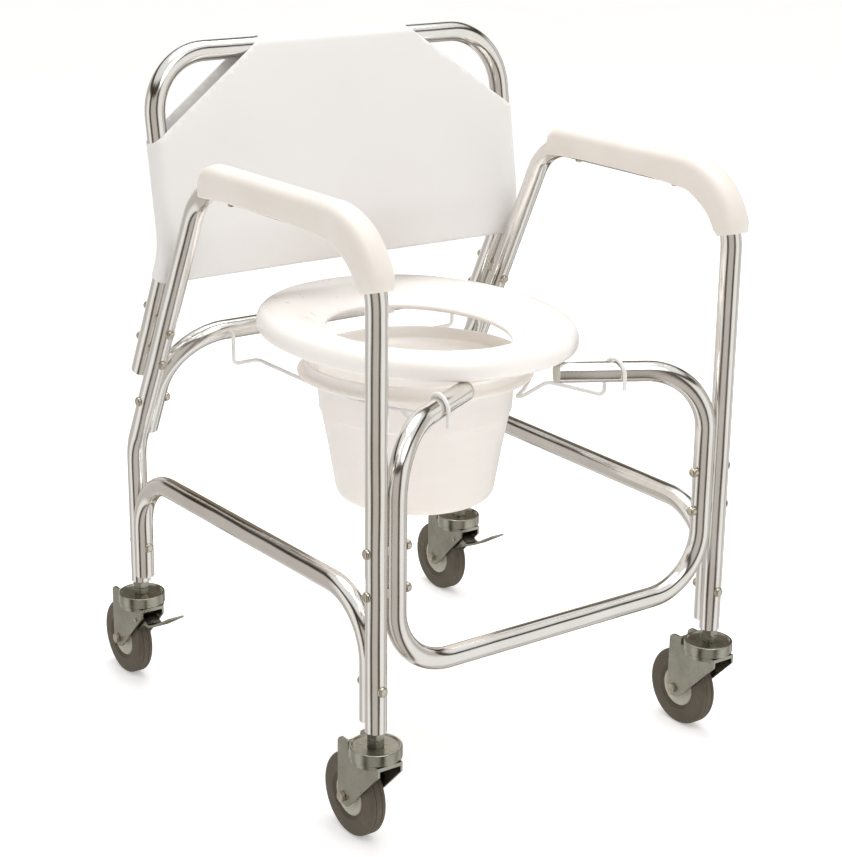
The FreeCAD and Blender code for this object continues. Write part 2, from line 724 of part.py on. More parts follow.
def oval(half_width, half_length, fullness, centre, height):
    """An upright oval prism, longer front to back."""
    count = 64
    ring = []
    for k in range(count):
        angle = 2 * math.pi * k / count
        across = (abs(math.cos(angle)) / half_width) ** fullness
        along = (abs(math.sin(angle)) / half_length) ** fullness
        reach = (across + along) ** (-1 / fullness)
        ring.append(centre + Vector(reach * math.cos(angle), reach * math.sin(angle), 0))
    curve = Part.BSplineCurve()
    curve.interpolate(Points=ring, PeriodicFlag=True)
    return Part.Face(Part.Wire(curve.toShape())).extrude(Vector(0, 0, height))


def edges_at(shape, z):
    """The level edges of a shape at height z."""
    near = 0.01
    return [edge for edge in shape.Edges
            if abs(edge.BoundBox.ZMin - z) < near and edge.BoundBox.ZLength < near]


def make_seat():
    """Moulded seat ring with an oval hole, hollowed underneath over the rear rail and its clips."""
    low = size("seat_low_z")
    thick = size("seat_thickness")
    ring = oval(size("seat_half_width"), size("seat_half_length"), size("seat_fullness"),
                at(0, size("seat_back"), low), thick)
    ring = ring.makeFillet(size("seat_low_round"), edges_at(ring, low))
    hole = oval(size("hole_half_width"), size("hole_half_length"), 2.0,
                at(0, size("hole_back"), low - 1), thick + 2)
    ring = ring.cut(hole)
    ring = ring.makeFillet(size("seat_round"), edges_at(ring, low + thick))
    half = size("seat_half_width")
    axis = at(-half, slant_back(size("rail_z")), size("rail_z"))
    along = Vector(1, 0, 0)
    hollows = [Part.makeCylinder(size("seat_groove"), 2 * half, axis, along)]
    clip_gap = 0.1
    for sign in (1, -1):
        clip_start = axis + along * (half + sign * size("clip_x") - size("clip_width") / 2 - clip_gap)
        hollows.append(Part.makeCylinder(size("clip_outer") + clip_gap, size("clip_width") + 2 * clip_gap,
                                         clip_start, along))
    keep(set_shape("seat_ring", ring.cut(hollows)), "seat_ring")


def make_hinge_clips():
    """Snap clips under the seat that turn on the rear rail."""
    clips = []
    axis_back = slant_back(size("rail_z"))
    width = size("clip_width")
    outer = size("clip_outer")
    plate_top = size("seat_low_z") - 0.05 - size("rail_z")
    plate_height = 5.0
    plate_reach = 14.0
    mouth_width, mouth_height = 18.0, 30.0
    along = Vector(1, 0, 0)
    for sign in (1, -1):
        start = at(sign * size("clip_x") - width / 2, axis_back, size("rail_z"))
        ring = Part.makeCylinder(outer, width, start, along)
        corner = start + Vector(0, -outer - plate_reach, plate_top - plate_height)
        plate = Part.makeBox(width, outer + plate_reach, plate_height, corner)
        mouth = Part.makeBox(width + 2, mouth_width, mouth_height,
                             start + Vector(-1, -mouth_width / 2, -mouth_height))
        rail = Part.makeCylinder(size("clip_bore"), width + 2, start - along, along)
        clips.append(ring.fuse(plate).cut(mouth).cut(rail).removeSplitter())
    compound("seat_hinge_clips", clips)


# ---------------------------------------------------------------- pail and its hangers

def make_pail():
    """Round tapered pail with a flange that rides on the two wires."""
    wall = "sizes.pail_wall"
    corners = [
        ("0", "sizes.pail_low_z"),
        ("sizes.pail_base_radius", "sizes.pail_low_z", "18"),
        ("sizes.pail_body_radius", "sizes.pail_step_z"),
        ("sizes.pail_body_radius + 2", "sizes.pail_step_z + 2"),
        ("sizes.pail_neck_radius", "sizes.pail_flange_z"),
        ("sizes.pail_flange_radius", "sizes.pail_flange_z"),
        ("sizes.pail_flange_radius", f"sizes.pail_flange_z + {wall}"),
        ("sizes.pail_collar_radius", f"sizes.pail_flange_z + {wall}"),
        ("sizes.pail_collar_radius", "sizes.pail_rim_z"),
        (f"sizes.pail_collar_radius - {wall}", "sizes.pail_rim_z"),
        (f"sizes.pail_collar_radius - {wall}", f"sizes.pail_flange_z + {wall}"),
        (f"sizes.pail_neck_radius - {wall}", f"sizes.pail_flange_z + {wall}"),
        (f"sizes.pail_body_radius - {wall} - 1", "sizes.pail_step_z"),
        (f"sizes.pail_base_radius - {wall}", f"sizes.pail_low_z + {wall}", "16"),
        ("0", f"sizes.pail_low_z + {wall}"),
    ]
    place = Placement(at(0, size("pail_back"), 0), Rotation())
    return keep(turned_body("pail_body", place, corners), "pail")


def hanger_route(sign):
    """Points of one hanger wire as (x, back, height), and the bend radius at each inner point.

    It runs from the rear rail forward under the flange, in to a handle and out to the hook on the stub.
    """
    z = size("wire_z")
    hook_x = 132.0
    hook_radius = 18.4
    hook_middle = (size("frame_x") - hook_x) * math.tan(math.radians(size("stub_angle")))
    hook_rear = hook_middle + hook_radius
    hook_front = hook_middle - hook_radius
    hook_top = size("frame_top_z") + size("tube_radius") + size("wire_radius") + 0.8
    route = [
        ((174.0, slant_back(size("rail_z")) - 7.0, 500.0), None),
        ((174.0, 449.0, 500.0), 5.0),
        ((174.0, 449.0, z), 7.0),
        ((138.0, 449.0, z), 7.0),
        ((138.0, 262.0, z), 70.0),
        ((117.0, 200.0, 457.0), 60.0),
        ((84.0, 175.0, 451.0), 60.0),
        ((46.0, 154.0, 445.0), 5.0),
        ((112.0, 162.0, 460.0), 9.0),
        ((hook_x, hook_rear, z + 1), 8.0),
        ((hook_x, hook_rear, hook_top), hook_radius - 0.1),
        ((hook_x, hook_front, hook_top), hook_radius - 0.1),
        ((hook_x, hook_front, 476.5), None),
    ]
    points = [at(sign * x, back, height) for (x, back, height), _ in route]
    radii = [radius for _, radius in route if radius is not None]
    return points, radii


def make_hangers():
    """Two coated wires that carry the pail between the rear rail and the front stubs."""
    for side, sign in SIDES:
        points, radii = hanger_route(sign)
        keep(set_shape(f"pail_hanger_{side}", swept_rod(points, radii, size("wire_radius"))),
             f"pail_hanger_{side}")


def wire_holes():
    """Holes in the rear rail for the wires' ends."""
    holes = []
    for sign in (1, -1):
        tip = hanger_route(sign)[0][0]
        holes.append(Part.makeCylinder(size("wire_hole"), 30.0, tip - Vector(0, 29.0, 0), Vector(0, 1, 0)))
    return set_shape("rail_wire_holes", Part.makeCompound(holes))


# ---------------------------------------------------------------- casters

def make_stems_and_nuts():
    """Leg inserts, threaded stems and the two nuts on each stem."""
    inserts, stems, nuts = [], [], []
    leg_end = size("leg_end_z")
    stem = size("stem_radius")
    gap = size("running_gap")
    stem_low, stem_length, stem_chamfer = 112.0, 74.0, 0.8
    plug_length = 40.0
    for _, x, back in caster_places():
        core = Part.makeCylinder(stem, stem_length, at(x, back, stem_low))
        tip = [e for e in core.Edges if e.Closed and e.CenterOfMass.z > leg_end]
        stems.append(core.makeChamfer(stem_chamfer, tip))
        plug = Part.makeCylinder(size("bore_radius") - gap, plug_length, at(x, back, leg_end + 0.5))
        inserts.append(plug.cut(Part.makeCylinder(stem + gap, plug_length + 10, at(x, back, leg_end - 2))))
        for level in range(2):
            base_z = size("cup_top_z") - 1.5 + level * (size("nut_height") + 0.1)
            nut = hex_bar(size("nut_flats"), size("nut_height"), at(x, back, base_z))
            nuts.append(nut.cut(Part.makeCylinder(stem + gap, 20.0, at(x, back, base_z - 2))))
    compound("leg_inserts", inserts)
    compound("caster_stems", stems)
    compound("caster_nuts", nuts)


def make_cup(name, place):
    """Pressed top cup that covers the ball race."""
    bore = "sizes.stem_radius + sizes.running_gap"
    top, low, radius = "sizes.cup_top_z", "sizes.cup_low_z", "sizes.cup_radius"
    corners = [
        (bore, f"{top} - 5.8"),
        (bore, f"{top} - 1.5"),
        (f"{radius} - 4.5", f"{top} - 1.5"),
        (f"{radius} - 3", top),
        (radius, top, "1.4"),
        (radius, low),
        (f"{radius} - 2", low),
        (f"{radius} - 2", f"{top} - 5.8"),
    ]
    keep(turned_body(f"cup_body_{name}", place, corners), f"caster_cup_{name}")


def make_balls(name, place):
    """The bearing balls between cup and fork."""
    count = 18
    balls = []
    for k in range(count):
        angle = 2 * math.pi * k / count
        spot = Vector(size("ball_circle") * math.cos(angle), size("ball_circle") * math.sin(angle),
                      size("cup_top_z") - 5.9 - size("ball_radius"))
        balls.append(Part.makeSphere(size("ball_radius"), place.multVec(spot)))
    compound(f"swivel_balls_{name}", balls)


def make_fork(name, place, has_brake):
    """Pressed fork: a disc under the cup and two cheeks down to the axle."""
    body = new_body(f"fork_body_{name}", place)
    disc_top = "sizes.cup_low_z - 1"
    trail, axle = "sizes.caster_trail", "sizes.wheel_radius"
    cheek = new_sketch(body, f"fork_side_{name}", "YZ_Plane")
    draw_outline(cheek, [
        ("-sizes.fork_disc_radius", disc_top),
        ("-sizes.fork_disc_radius", "sizes.fork_nose_z"),
        (f"{trail} - 9.2", f"{axle} - 11", "11"),
        (f"{trail} + 11", f"{axle} - 11", "11"),
        (f"{trail} + 11", "sizes.fork_top_z", "9"),
        ("sizes.cup_radius + 0.8", "sizes.fork_top_z", "2"),
        ("sizes.cup_radius + 0.8", disc_top),
    ])
    pad(body, cheek, "sizes.fork_width", both_ways=True)
    disc = new_sketch(body, f"fork_disc_{name}", "XY_Plane", "sizes.fork_roof_z")
    draw_circle(disc, "0", "0", "sizes.fork_disc_radius")
    pad(body, disc, f"{disc_top} - sizes.fork_roof_z")
    race = new_sketch(body, f"fork_race_{name}", "XY_Plane", "sizes.fork_roof_z")
    draw_circle(race, "0", "0", "sizes.fork_disc_radius - 2")
    pad(body, race, "sizes.cup_top_z - 5.9 - 2 * sizes.ball_radius - 0.1 - sizes.fork_roof_z")
    room = new_sketch(body, f"fork_room_{name}", "YZ_Plane")
    roof = "sizes.fork_roof_z"
    draw_outline(room, [("-60", roof), ("90", roof), ("90", "10"), ("-60", "10")])
    pocket(body, room, "sizes.fork_inside", both_ways=True)
    gap = new_sketch(body, f"fork_gap_{name}", "YZ_Plane")
    behind_cup = "sizes.cup_radius + 0.8"
    draw_outline(gap, [(behind_cup, "sizes.fork_open_z"), ("90", "sizes.fork_open_z"), ("90", "150"),
                       (behind_cup, "150")])
    pocket(body, gap, "sizes.fork_inside", both_ways=True)
    centre = new_sketch(body, f"fork_centre_{name}", "XY_Plane", "100")
    draw_circle(centre, "0", "0", "sizes.stem_radius + sizes.running_gap")
    pocket(body, centre, "40", reverse=True)
    cross = new_sketch(body, f"fork_axle_hole_{name}", "YZ_Plane")
    draw_circle(cross, trail, axle, "sizes.axle_radius + sizes.running_gap")
    if has_brake:
        draw_circle(cross, "-sizes.pedal_pin_ahead", "sizes.pedal_pin_z",
                    "sizes.pedal_pin_radius + sizes.running_gap")
    pocket(body, cross, "60", both_ways=True)
    keep(body, f"caster_fork_{name}")


def make_axle(name, place):
    """Axle bolt with a hexagon head, and its nut."""
    half = size("fork_width") / 2
    centre = Vector(0, size("caster_trail"), size("wheel_radius"))
    gap = 0.1
    flats, head_height, nut_height = 12.0, 4.6, 5.5
    head = hex_bar(flats, head_height, Vector())
    shank = Part.makeCylinder(size("axle_radius"), 2 * half + nut_height + 2)
    bolt = place_along(shank, centre + Vector(-half - gap, 0, 0), Vector(1, 0, 0))
    bolt = bolt.fuse(place_along(head, centre + Vector(-half - gap, 0, 0), Vector(-1, 0, 0)))
    nut = hex_bar(flats, nut_height, Vector()).cut(Part.makeCylinder(size("axle_radius"), nut_height + 2.5))
    nut = place_along(nut, centre + Vector(half + gap, 0, 0), Vector(1, 0, 0))
    solids = [bolt.removeSplitter(), nut]
    for solid in solids:
        solid.Placement = place.multiply(solid.Placement)
    compound(f"wheel_axle_{name}", solids)


def make_hub(name, place):
    """Moulded wheel centre that runs on the axle."""
    bore = "sizes.axle_radius + sizes.running_gap"
    outer = "sizes.hub_radius"
    corners = [
        ("-13.8", bore), ("-13.8", "8", "1.5"), ("-9.6", "9.4"), ("-8.2", "14"), ("-9.4", "22"),
        ("-9.8", f"{outer} - 1.6"), ("-8.4", outer),
        ("8.4", outer), ("9.8", f"{outer} - 1.6"),
        ("9.4", "22"), ("8.2", "14"), ("9.6", "9.4"), ("13.8", "8", "1.5"), ("13.8", bore),
    ]
    keep(turned_body(f"hub_body_{name}", place, corners, "H_Axis"), f"wheel_hub_{name}")


def make_tyre(name, place):
    """Solid tyre: flat side rings, rounded shoulders and two shallow grooves in the tread."""
    outer = "sizes.wheel_radius"
    inner = "sizes.hub_radius + 0.1"
    half = "sizes.wheel_width / 2"
    groove = [("-4.6", outer), ("-4", f"{outer} - 0.8"), ("-3.4", outer),
              ("3.4", outer), ("4", f"{outer} - 0.8"), ("4.6", outer)]
    corners = [("-8.2", inner), (f"-({half}) + 1.6", f"{inner} + 2.6"), (f"-({half})", f"{inner} + 4.5"),
               (f"-({half})", f"{inner} + 13"), (f"-({half}) + 0.4", f"{outer} - 8", "3"),
               (f"-({half}) + 1.2", outer, "5")]
    corners += groove
    corners += [(f"{half} - 1.2", outer, "5"), (f"{half} - 0.4", f"{outer} - 8", "3"),
                (half, f"{inner} + 13"), (half, f"{inner} + 4.5"), (f"{half} - 1.6", f"{inner} + 2.6"),
                ("8.2", inner)]
    keep(turned_body(f"tyre_body_{name}", place, corners, "H_Axis"), f"tyre_{name}")


def make_pedal(name, place):
    """Brake pedal: a bent plate on a cross pin, with a nose that bears on the tyre when pressed."""
    body = new_body(f"pedal_body_{name}", place)
    side = new_sketch(body, f"pedal_side_{name}", "YZ_Plane")
    draw_outline(side, [
        ("-9", "102", "3"), ("-22", "100.5", "3"), ("-35", "95.2", "7"), ("-53", "102.5", "14"),
        ("-96.5", "127.8", "1"), ("-97.6", "125.3", "1"), ("-53", "99.3", "14"), ("-36", "92", "7"),
        ("-19", "91.5", "4"), ("-5.9", "77.2", "2"), ("-2.2", "82.5", "2"), ("-7", "95", "3"),
    ])
    pad(body, side, "sizes.pedal_width", both_ways=True)
    hole = new_sketch(body, f"pedal_hole_{name}", "YZ_Plane")
    draw_circle(hole, "-sizes.pedal_pin_ahead", "sizes.pedal_pin_z",
                "sizes.pedal_pin_radius + sizes.running_gap")
    pocket(body, hole, "60", both_ways=True)
    keep(body, f"brake_pedal_{name}")
    pin = doc.addObject("Part::Cylinder", f"pedal_pin_{name}")
    pin.setExpression("Radius", "sizes.pedal_pin_radius")
    pin.setExpression("Height", "sizes.fork_width + 3")
    start = Vector(-size("fork_width") / 2 - 1.5, -size("pedal_pin_ahead"), size("pedal_pin_z"))
    pin.Placement = place.multiply(Placement(start, Rotation(UP, Vector(1, 0, 0))))
    keep(pin, f"pedal_pin_{name}")


def make_casters():
    for name, x, back in caster_places():
        place = Placement(at(x, back, 0), Rotation())
        wheel_place = Placement(at(x, back + size("caster_trail"), size("wheel_radius")), Rotation())
        has_brake = name.startswith("rear")
        make_cup(name, place)
        make_balls(name, place)
        make_fork(name, place, has_brake)
        make_axle(name, place)
        make_hub(name, wheel_place)
        make_tyre(name, wheel_place)
        if has_brake:
            make_pedal(name, place)


# ---------------------------------------------------------------- assembly

def make_frame():
    """Every tube, nested against its neighbours, drilled and bored."""
    holes = make_bolts()
    bores = make_bores()
    wires = wire_holes()
    side_blanks = []
    for side, sign in SIDES:
        blank = make_side_tube(side, sign)
        side_blanks.append(blank)
        keep(cut_away(f"side_tube_{side}", blank, [holes, bores]), f"side_tube_{side}")
        brace = make_side_brace(side, sign)
        keep(cut_away(f"side_brace_{side}", brace, [blank, holes]), f"side_brace_{side}")
        cushion = make_arm_pad(side, sign)
        keep(cut_away(f"arm_pad_{side}", cushion, [blank]), f"arm_pad_{side}")
    rail = make_rear_rail()
    keep(cut_away("rear_seat_rail", rail, side_blanks + [holes, wires]), "rear_seat_rail")
    back = make_back_tube()
    front = make_front_frame()
    keep(cut_away("back_tube", back, [holes, bores]), "back_tube")
    keep(cut_away("front_frame_tube", front, [holes, bores]), "front_frame_tube")
    make_spacers(holes, side_blanks + [back, front])
    make_end_plugs()
    make_pad_screws()


def check_and_write():
    """Stops on any failed object, then writes one file for each sub-part."""
    doc.recompute()
    for thing in doc.Objects:
        if "Invalid" in thing.State or "Error" in thing.State:
            raise RuntimeError(f"{thing.Name} failed: {thing.State}")
    os.makedirs("parts", exist_ok=True)
    for thing in sub_parts:
        shape = thing.Shape
        if shape.isNull() or not shape.isValid() or not shape.Solids:
            raise RuntimeError(f"{thing.Label} has no valid solid")
        shape.exportStep(f"parts/{thing.Label}.step")
        print(thing.Label, len(shape.Solids), round(shape.Volume))


make_frame()
make_sling()
make_seat()
make_hinge_clips()
make_pail()
make_hangers()
make_stems_and_nuts()
make_casters()
check_and_write()
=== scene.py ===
import json
import math

import bmesh
import bpy
from mathutils import Matrix, Vector, noise


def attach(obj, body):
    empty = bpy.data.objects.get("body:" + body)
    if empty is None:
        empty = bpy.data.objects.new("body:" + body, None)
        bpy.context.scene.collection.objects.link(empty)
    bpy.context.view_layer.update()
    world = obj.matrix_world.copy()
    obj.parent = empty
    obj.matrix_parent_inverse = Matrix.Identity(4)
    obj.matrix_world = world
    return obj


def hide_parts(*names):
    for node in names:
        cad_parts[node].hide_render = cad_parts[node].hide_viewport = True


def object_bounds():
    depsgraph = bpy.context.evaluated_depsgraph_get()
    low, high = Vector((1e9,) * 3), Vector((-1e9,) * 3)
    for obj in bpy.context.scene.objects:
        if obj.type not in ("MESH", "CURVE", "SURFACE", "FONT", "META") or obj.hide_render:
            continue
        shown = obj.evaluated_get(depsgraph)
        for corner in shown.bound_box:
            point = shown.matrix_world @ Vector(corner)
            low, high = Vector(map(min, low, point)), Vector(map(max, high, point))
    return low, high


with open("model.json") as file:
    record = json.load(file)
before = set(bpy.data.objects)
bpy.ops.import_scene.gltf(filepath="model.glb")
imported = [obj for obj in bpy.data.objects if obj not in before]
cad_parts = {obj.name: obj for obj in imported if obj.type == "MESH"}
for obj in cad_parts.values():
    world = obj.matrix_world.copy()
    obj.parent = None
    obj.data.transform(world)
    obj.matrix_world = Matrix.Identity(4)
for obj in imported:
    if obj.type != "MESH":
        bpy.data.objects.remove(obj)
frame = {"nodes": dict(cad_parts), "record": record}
cad_low, cad_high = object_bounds()

# Everything is in metres, in the CAD's frame: +Z up, the sitter faces -Y, origin on the floor.
# A distance called BACK is measured rearwards from the front legs' axes.

# ---------------------------------------------------------------- sizes shared with the CAD

TUBE_RADIUS = 0.0127
BEND_RADIUS = 0.076
FRONT_LEG_X = 0.258
REAR_LEG_X = 0.266
WHEELBASE = 0.550
CUP_RADIUS = 0.0309
FRONT_LEG_Y = cad_low.y + CUP_RADIUS
ARM_Z = 0.7175
BACK_TUBE_X = 0.264
BACK_TOP_Z = 0.8563
PAIL_BACK = 0.290
RAIL_BACK = 0.46998
RAIL_Z = 0.501


def back_of(distance):
    """Y of a point that far behind the front legs' axes."""
    return FRONT_LEG_Y + distance


# ---------------------------------------------------------------- mesh helpers

LATHE_SIDES = 128


def shade_smooth(mesh):
    mesh.polygons.foreach_set("use_smooth", [True] * len(mesh.polygons))


def object_from(name, bm):
    """A linked object made of a bmesh, with its normals outward."""
    bmesh.ops.recalc_face_normals(bm, faces=bm.faces)
    mesh = bpy.data.meshes.new(name)
    bm.to_mesh(mesh)
    bm.free()
    shade_smooth(mesh)
    thing = bpy.data.objects.new(name, mesh)
    bpy.context.scene.collection.objects.link(thing)
    return thing


def apply_modifiers(thing):
    """Bakes the object's modifiers into its mesh."""
    graph = bpy.context.evaluated_depsgraph_get()
    mesh = bpy.data.meshes.new_from_object(thing.evaluated_get(graph))
    thing.modifiers.clear()
    thing.data = mesh
    shade_smooth(mesh)


def bridge(bm, ring_a, ring_b, closed=True):
    """Quads between two rows of vertices."""
    count = len(ring_a)
    spans = count if closed else count - 1
    for i in range(spans):
        j = (i + 1) % count
        bm.faces.new((ring_a[i], ring_a[j], ring_b[j], ring_b[i]))


def bridge_all(bm, rows, closed=True):
    """Quads between each row of vertices and the next."""
    for before, after in zip(rows, rows[1:]):
        bridge(bm, before, after, closed)


def loft(bm, rings):
    """A skin over closed rings of points, with its ends closed."""
    rows = [[bm.verts.new(point) for point in ring] for ring in rings]
    bridge_all(bm, rows)
    bm.faces.new(rows[0][::-1])
    bm.faces.new(rows[-1])


def lathe(name, profile, centre):
    """A surface of revolution about an upright axis; a radius of 0 closes it."""
    bm = bmesh.new()
    rows = []
    for radius, z in profile:
        ring = []
        for k in range(LATHE_SIDES if radius > 0 else 1):
            angle = 2 * math.pi * k / LATHE_SIDES
            ring.append(bm.verts.new((centre.x + radius * math.cos(angle),
                                      centre.y + radius * math.sin(angle), z)))
        rows.append(ring)
    for before, after in zip(rows, rows[1:]):
        if len(before) == len(after):
            bridge(bm, before, after)
            continue
        tip, ring = (before[0], after) if len(before) == 1 else (after[0], before)
        for i in range(len(ring)):
            bm.faces.new((tip, ring[i], ring[(i + 1) % len(ring)]))
    return object_from(name, bm)


def arc(centre, radius, start, stop, count):
    """Points on an arc in a plane, from start to stop degrees, in count steps."""
    points = []
    for k in range(count + 1):
        angle = math.radians(start + (stop - start) * k / count)
        points.append((centre[0] + radius * math.cos(angle), centre[1] + radius * math.sin(angle)))
    return points


def ease(value, low, high):
    """0 below low, 1 above high, smooth between."""
    share = min(1.0, max(0.0, (value - low) / (high - low)))
    return share * share * (3 - 2 * share)


# ---------------------------------------------------------------- shader nodes

# The RGBA sockets of a Mix node, whose names it uses more than once.
MIX_FIRST, MIX_SECOND, MIX_RESULT = 6, 7, 2


class Graph:
    """The nodes of one material or world under construction."""

    def __init__(self, tree):
        self.nodes = tree.nodes
        self.links = tree.links

    def node(self, kind, inputs, **settings):
        """A node; inputs gives each socket a value, or another node's output to link to."""
        made = self.nodes.new(kind)
        for name, value in settings.items():
            setattr(made, name, value)
        for socket, value in inputs.items():
            if isinstance(value, bpy.types.NodeSocket):
                self.links.new(value, made.inputs[socket])
            else:
                made.inputs[socket].default_value = value
        return made

    def maths(self, operation, first, second):
        return self.node("ShaderNodeMath", {0: first, 1: second}, operation=operation).outputs[0]

    def spread(self, value, low, high, from_low=0.3, from_high=0.7, **settings):
        """Maps one range of values to another."""
        made = self.node("ShaderNodeMapRange", {
            "Value": value, "From Min": from_low, "From Max": from_high, "To Min": low, "To Max": high,
        }, **settings)
        return made.outputs["Result"]

    def ramp(self, value, stops):
        """Colours along a value; stops are pairs of a position and a colour."""
        made = self.node("ShaderNodeValToRGB", {"Fac": value})
        elements = made.color_ramp.elements
        while len(elements) < len(stops):
            elements.new(0.5)
        for element, (position, colour) in zip(elements, stops):
            element.position = position
            element.color = (*colour, 1.0)
        return made.outputs["Color"]

    def blend(self, value, first, second):
        """The first colour, an output, where the value is 0, and the second, a constant, where it is 1."""
        made = self.node("ShaderNodeMix", {
            "Factor": value, MIX_FIRST: first, MIX_SECOND: (*second, 1.0),
        }, data_type="RGBA")
        return made.outputs[MIX_RESULT]


class Recipe(Graph):
    """One procedural material on object coordinates."""

    def __init__(self, name, **settings):
        self.material = bpy.data.materials.new(name)
        self.material.use_nodes = True
        super().__init__(self.material.node_tree)
        self.shader = self.nodes["Principled BSDF"]
        for socket, value in settings.items():
            self.shader.inputs[socket.replace("_", " ")].default_value = value
        self.place = self.nodes.new("ShaderNodeTexCoord").outputs["Object"]
        self.normal = None

    def noise(self, scale, detail=4.0, roughness=0.55, stretch=None):
        vector = self.place
        if stretch:
            mapping = self.node("ShaderNodeMapping", {"Vector": self.place, "Scale": stretch})
            vector = mapping.outputs["Vector"]
        made = self.node("ShaderNodeTexNoise", {
            "Vector": vector, "Scale": scale, "Detail": detail, "Roughness": roughness})
        return made.outputs["Fac"]

    def cells(self, scale):
        made = self.node("ShaderNodeTexVoronoi", {"Vector": self.place, "Scale": scale})
        return made.outputs["Distance"]

    def waves(self, scale, axis):
        made = self.node("ShaderNodeTexWave", {"Vector": self.place, "Scale": scale},
                         bands_direction=axis)
        return made.outputs["Fac"]

    def tint(self, value, dark, light, low=0.30, high=0.70):
        """A ramp from the dark to the light colour between two values."""
        return self.ramp(value, [(low, dark), (high, light)])

    def colour(self, output):
        self.links.new(output, self.shader.inputs["Base Color"])

    def roughness(self, value, low, high):
        self.links.new(self.spread(value, low, high), self.shader.inputs["Roughness"])

    def bump(self, height, depth, strength):
        """Adds relief on top of any relief given before."""
        inputs = {"Height": height, "Distance": depth, "Strength": strength}
        if self.normal is not None:
            inputs["Normal"] = self.normal
        self.normal = self.node("ShaderNodeBump", inputs).outputs["Normal"]
        self.links.new(self.normal, self.shader.inputs["Normal"])


# ---------------------------------------------------------------- materials

def aluminium_material():
    """Bright rolled aluminium tube with faint haze, rub marks and hairline scratches."""
    m = Recipe("polished_aluminium", Metallic=1.0)
    haze = m.noise(scale=9.0, detail=5.0)
    scratches = m.noise(scale=60.0, detail=3.0, roughness=0.7, stretch=(8.0, 8.0, 0.35))
    base = m.tint(haze, dark=(0.80, 0.775, 0.735), light=(0.90, 0.885, 0.860))
    scratched = m.spread(scratches, 0.0, 0.25, from_low=0.55, from_high=0.8)
    m.colour(m.blend(scratched, base, (0.70, 0.66, 0.60)))
    m.roughness(haze, 0.13, 0.21)
    m.bump(m.noise(scale=7.0, detail=1.0), depth=0.010, strength=0.6)
    m.bump(scratches, depth=0.00004, strength=0.5)
    return m.material


def pad_material():
    """Moulded foam skin: warm white, pebbled and slightly soiled."""
    m = Recipe("moulded_foam_skin", Subsurface_Weight=0.12, Subsurface_Scale=0.004,
               Subsurface_Radius=(1.0, 0.8, 0.6))
    patches = m.noise(scale=14.0, detail=5.0)
    m.colour(m.tint(patches, dark=(0.775, 0.725, 0.665), light=(0.820, 0.775, 0.720),
                    low=0.25, high=0.75))
    m.roughness(m.noise(scale=40.0), 0.40, 0.58)
    m.bump(m.cells(scale=900.0), depth=0.00015, strength=0.35)
    m.bump(m.noise(scale=35.0, detail=3.0), depth=0.0006, strength=0.25)
    return m.material


def sling_material():
    """Vinyl-coated woven cloth with a fine square weave."""
    m = Recipe("coated_cloth", Sheen_Weight=0.15, Sheen_Roughness=0.5, Subsurface_Weight=0.15,
               Subsurface_Scale=0.010, Subsurface_Radius=(1.0, 0.95, 0.9))
    threads = m.maths("MULTIPLY", m.waves(scale=420.0, axis="X"), m.waves(scale=420.0, axis="Z"))
    cloud = m.noise(scale=5.0, detail=4.0)
    base = m.tint(cloud, dark=(0.845, 0.820, 0.800), light=(0.875, 0.852, 0.835))
    woven = m.spread(threads, 0.0, 0.10, from_low=0.0, from_high=1.0)
    m.colour(m.blend(woven, base, (0.72, 0.71, 0.70)))
    m.roughness(m.noise(scale=60.0), 0.48, 0.62)
    m.bump(threads, depth=0.00012, strength=0.25)
    m.bump(cloud, depth=0.0010, strength=0.15)
    return m.material


def seat_material():
    """Glossy moulded seat plastic with slight flow marks."""
    m = Recipe("seat_plastic", Coat_Weight=0.25, Coat_Roughness=0.22)
    flow = m.noise(scale=6.0, detail=4.0)
    m.colour(m.tint(flow, dark=(0.915, 0.875, 0.835), light=(0.945, 0.910, 0.880),
                    low=0.25, high=0.75))
    m.roughness(m.noise(scale=50.0), 0.26, 0.40)
    m.bump(m.noise(scale=420.0, detail=2.0), depth=0.00006, strength=0.4)
    m.bump(m.noise(scale=12.0, detail=2.0), depth=0.0010, strength=0.12)
    return m.material


def pail_material():
    """Thin natural polyethylene: greyish beige, translucent, waxy, with faint level rings."""
    m = Recipe("pail_polyethylene", Subsurface_Weight=0.75, Subsurface_Scale=0.020,
               Subsurface_Radius=(1.0, 0.88, 0.75), Coat_Weight=0.1)
    cloud = m.noise(scale=7.0, detail=4.0)
    rings = m.noise(scale=40.0, detail=2.0, roughness=0.5, stretch=(0.1, 0.1, 6.0))
    base = m.tint(cloud, dark=(0.830, 0.775, 0.725), light=(0.875, 0.825, 0.780),
                  low=0.25, high=0.75)
    m.colour(m.blend(m.spread(rings, 0.0, 0.10), base, (0.74, 0.70, 0.65)))
    m.roughness(m.noise(scale=30.0), 0.34, 0.48)
    m.bump(rings, depth=0.0003, strength=0.2)
    return m.material


def zinc_material():
    """Zinc plate on pressed steel: satin grey with small spangle and a dull yellow-green cast."""
    m = Recipe("zinc_plate", Metallic=1.0)
    cloud = m.noise(scale=35.0, detail=5.0)
    base = m.tint(cloud, dark=(0.37, 0.365, 0.30), light=(0.50, 0.49, 0.42))
    spangle = m.spread(m.cells(scale=260.0), 0.0, 0.25, from_low=0.1, from_high=0.6)
    m.colour(m.blend(spangle, base, (0.27, 0.27, 0.25)))
    m.roughness(cloud, 0.22, 0.36)
    m.bump(m.noise(scale=300.0, detail=3.0), depth=0.00010, strength=0.4)
    return m.material


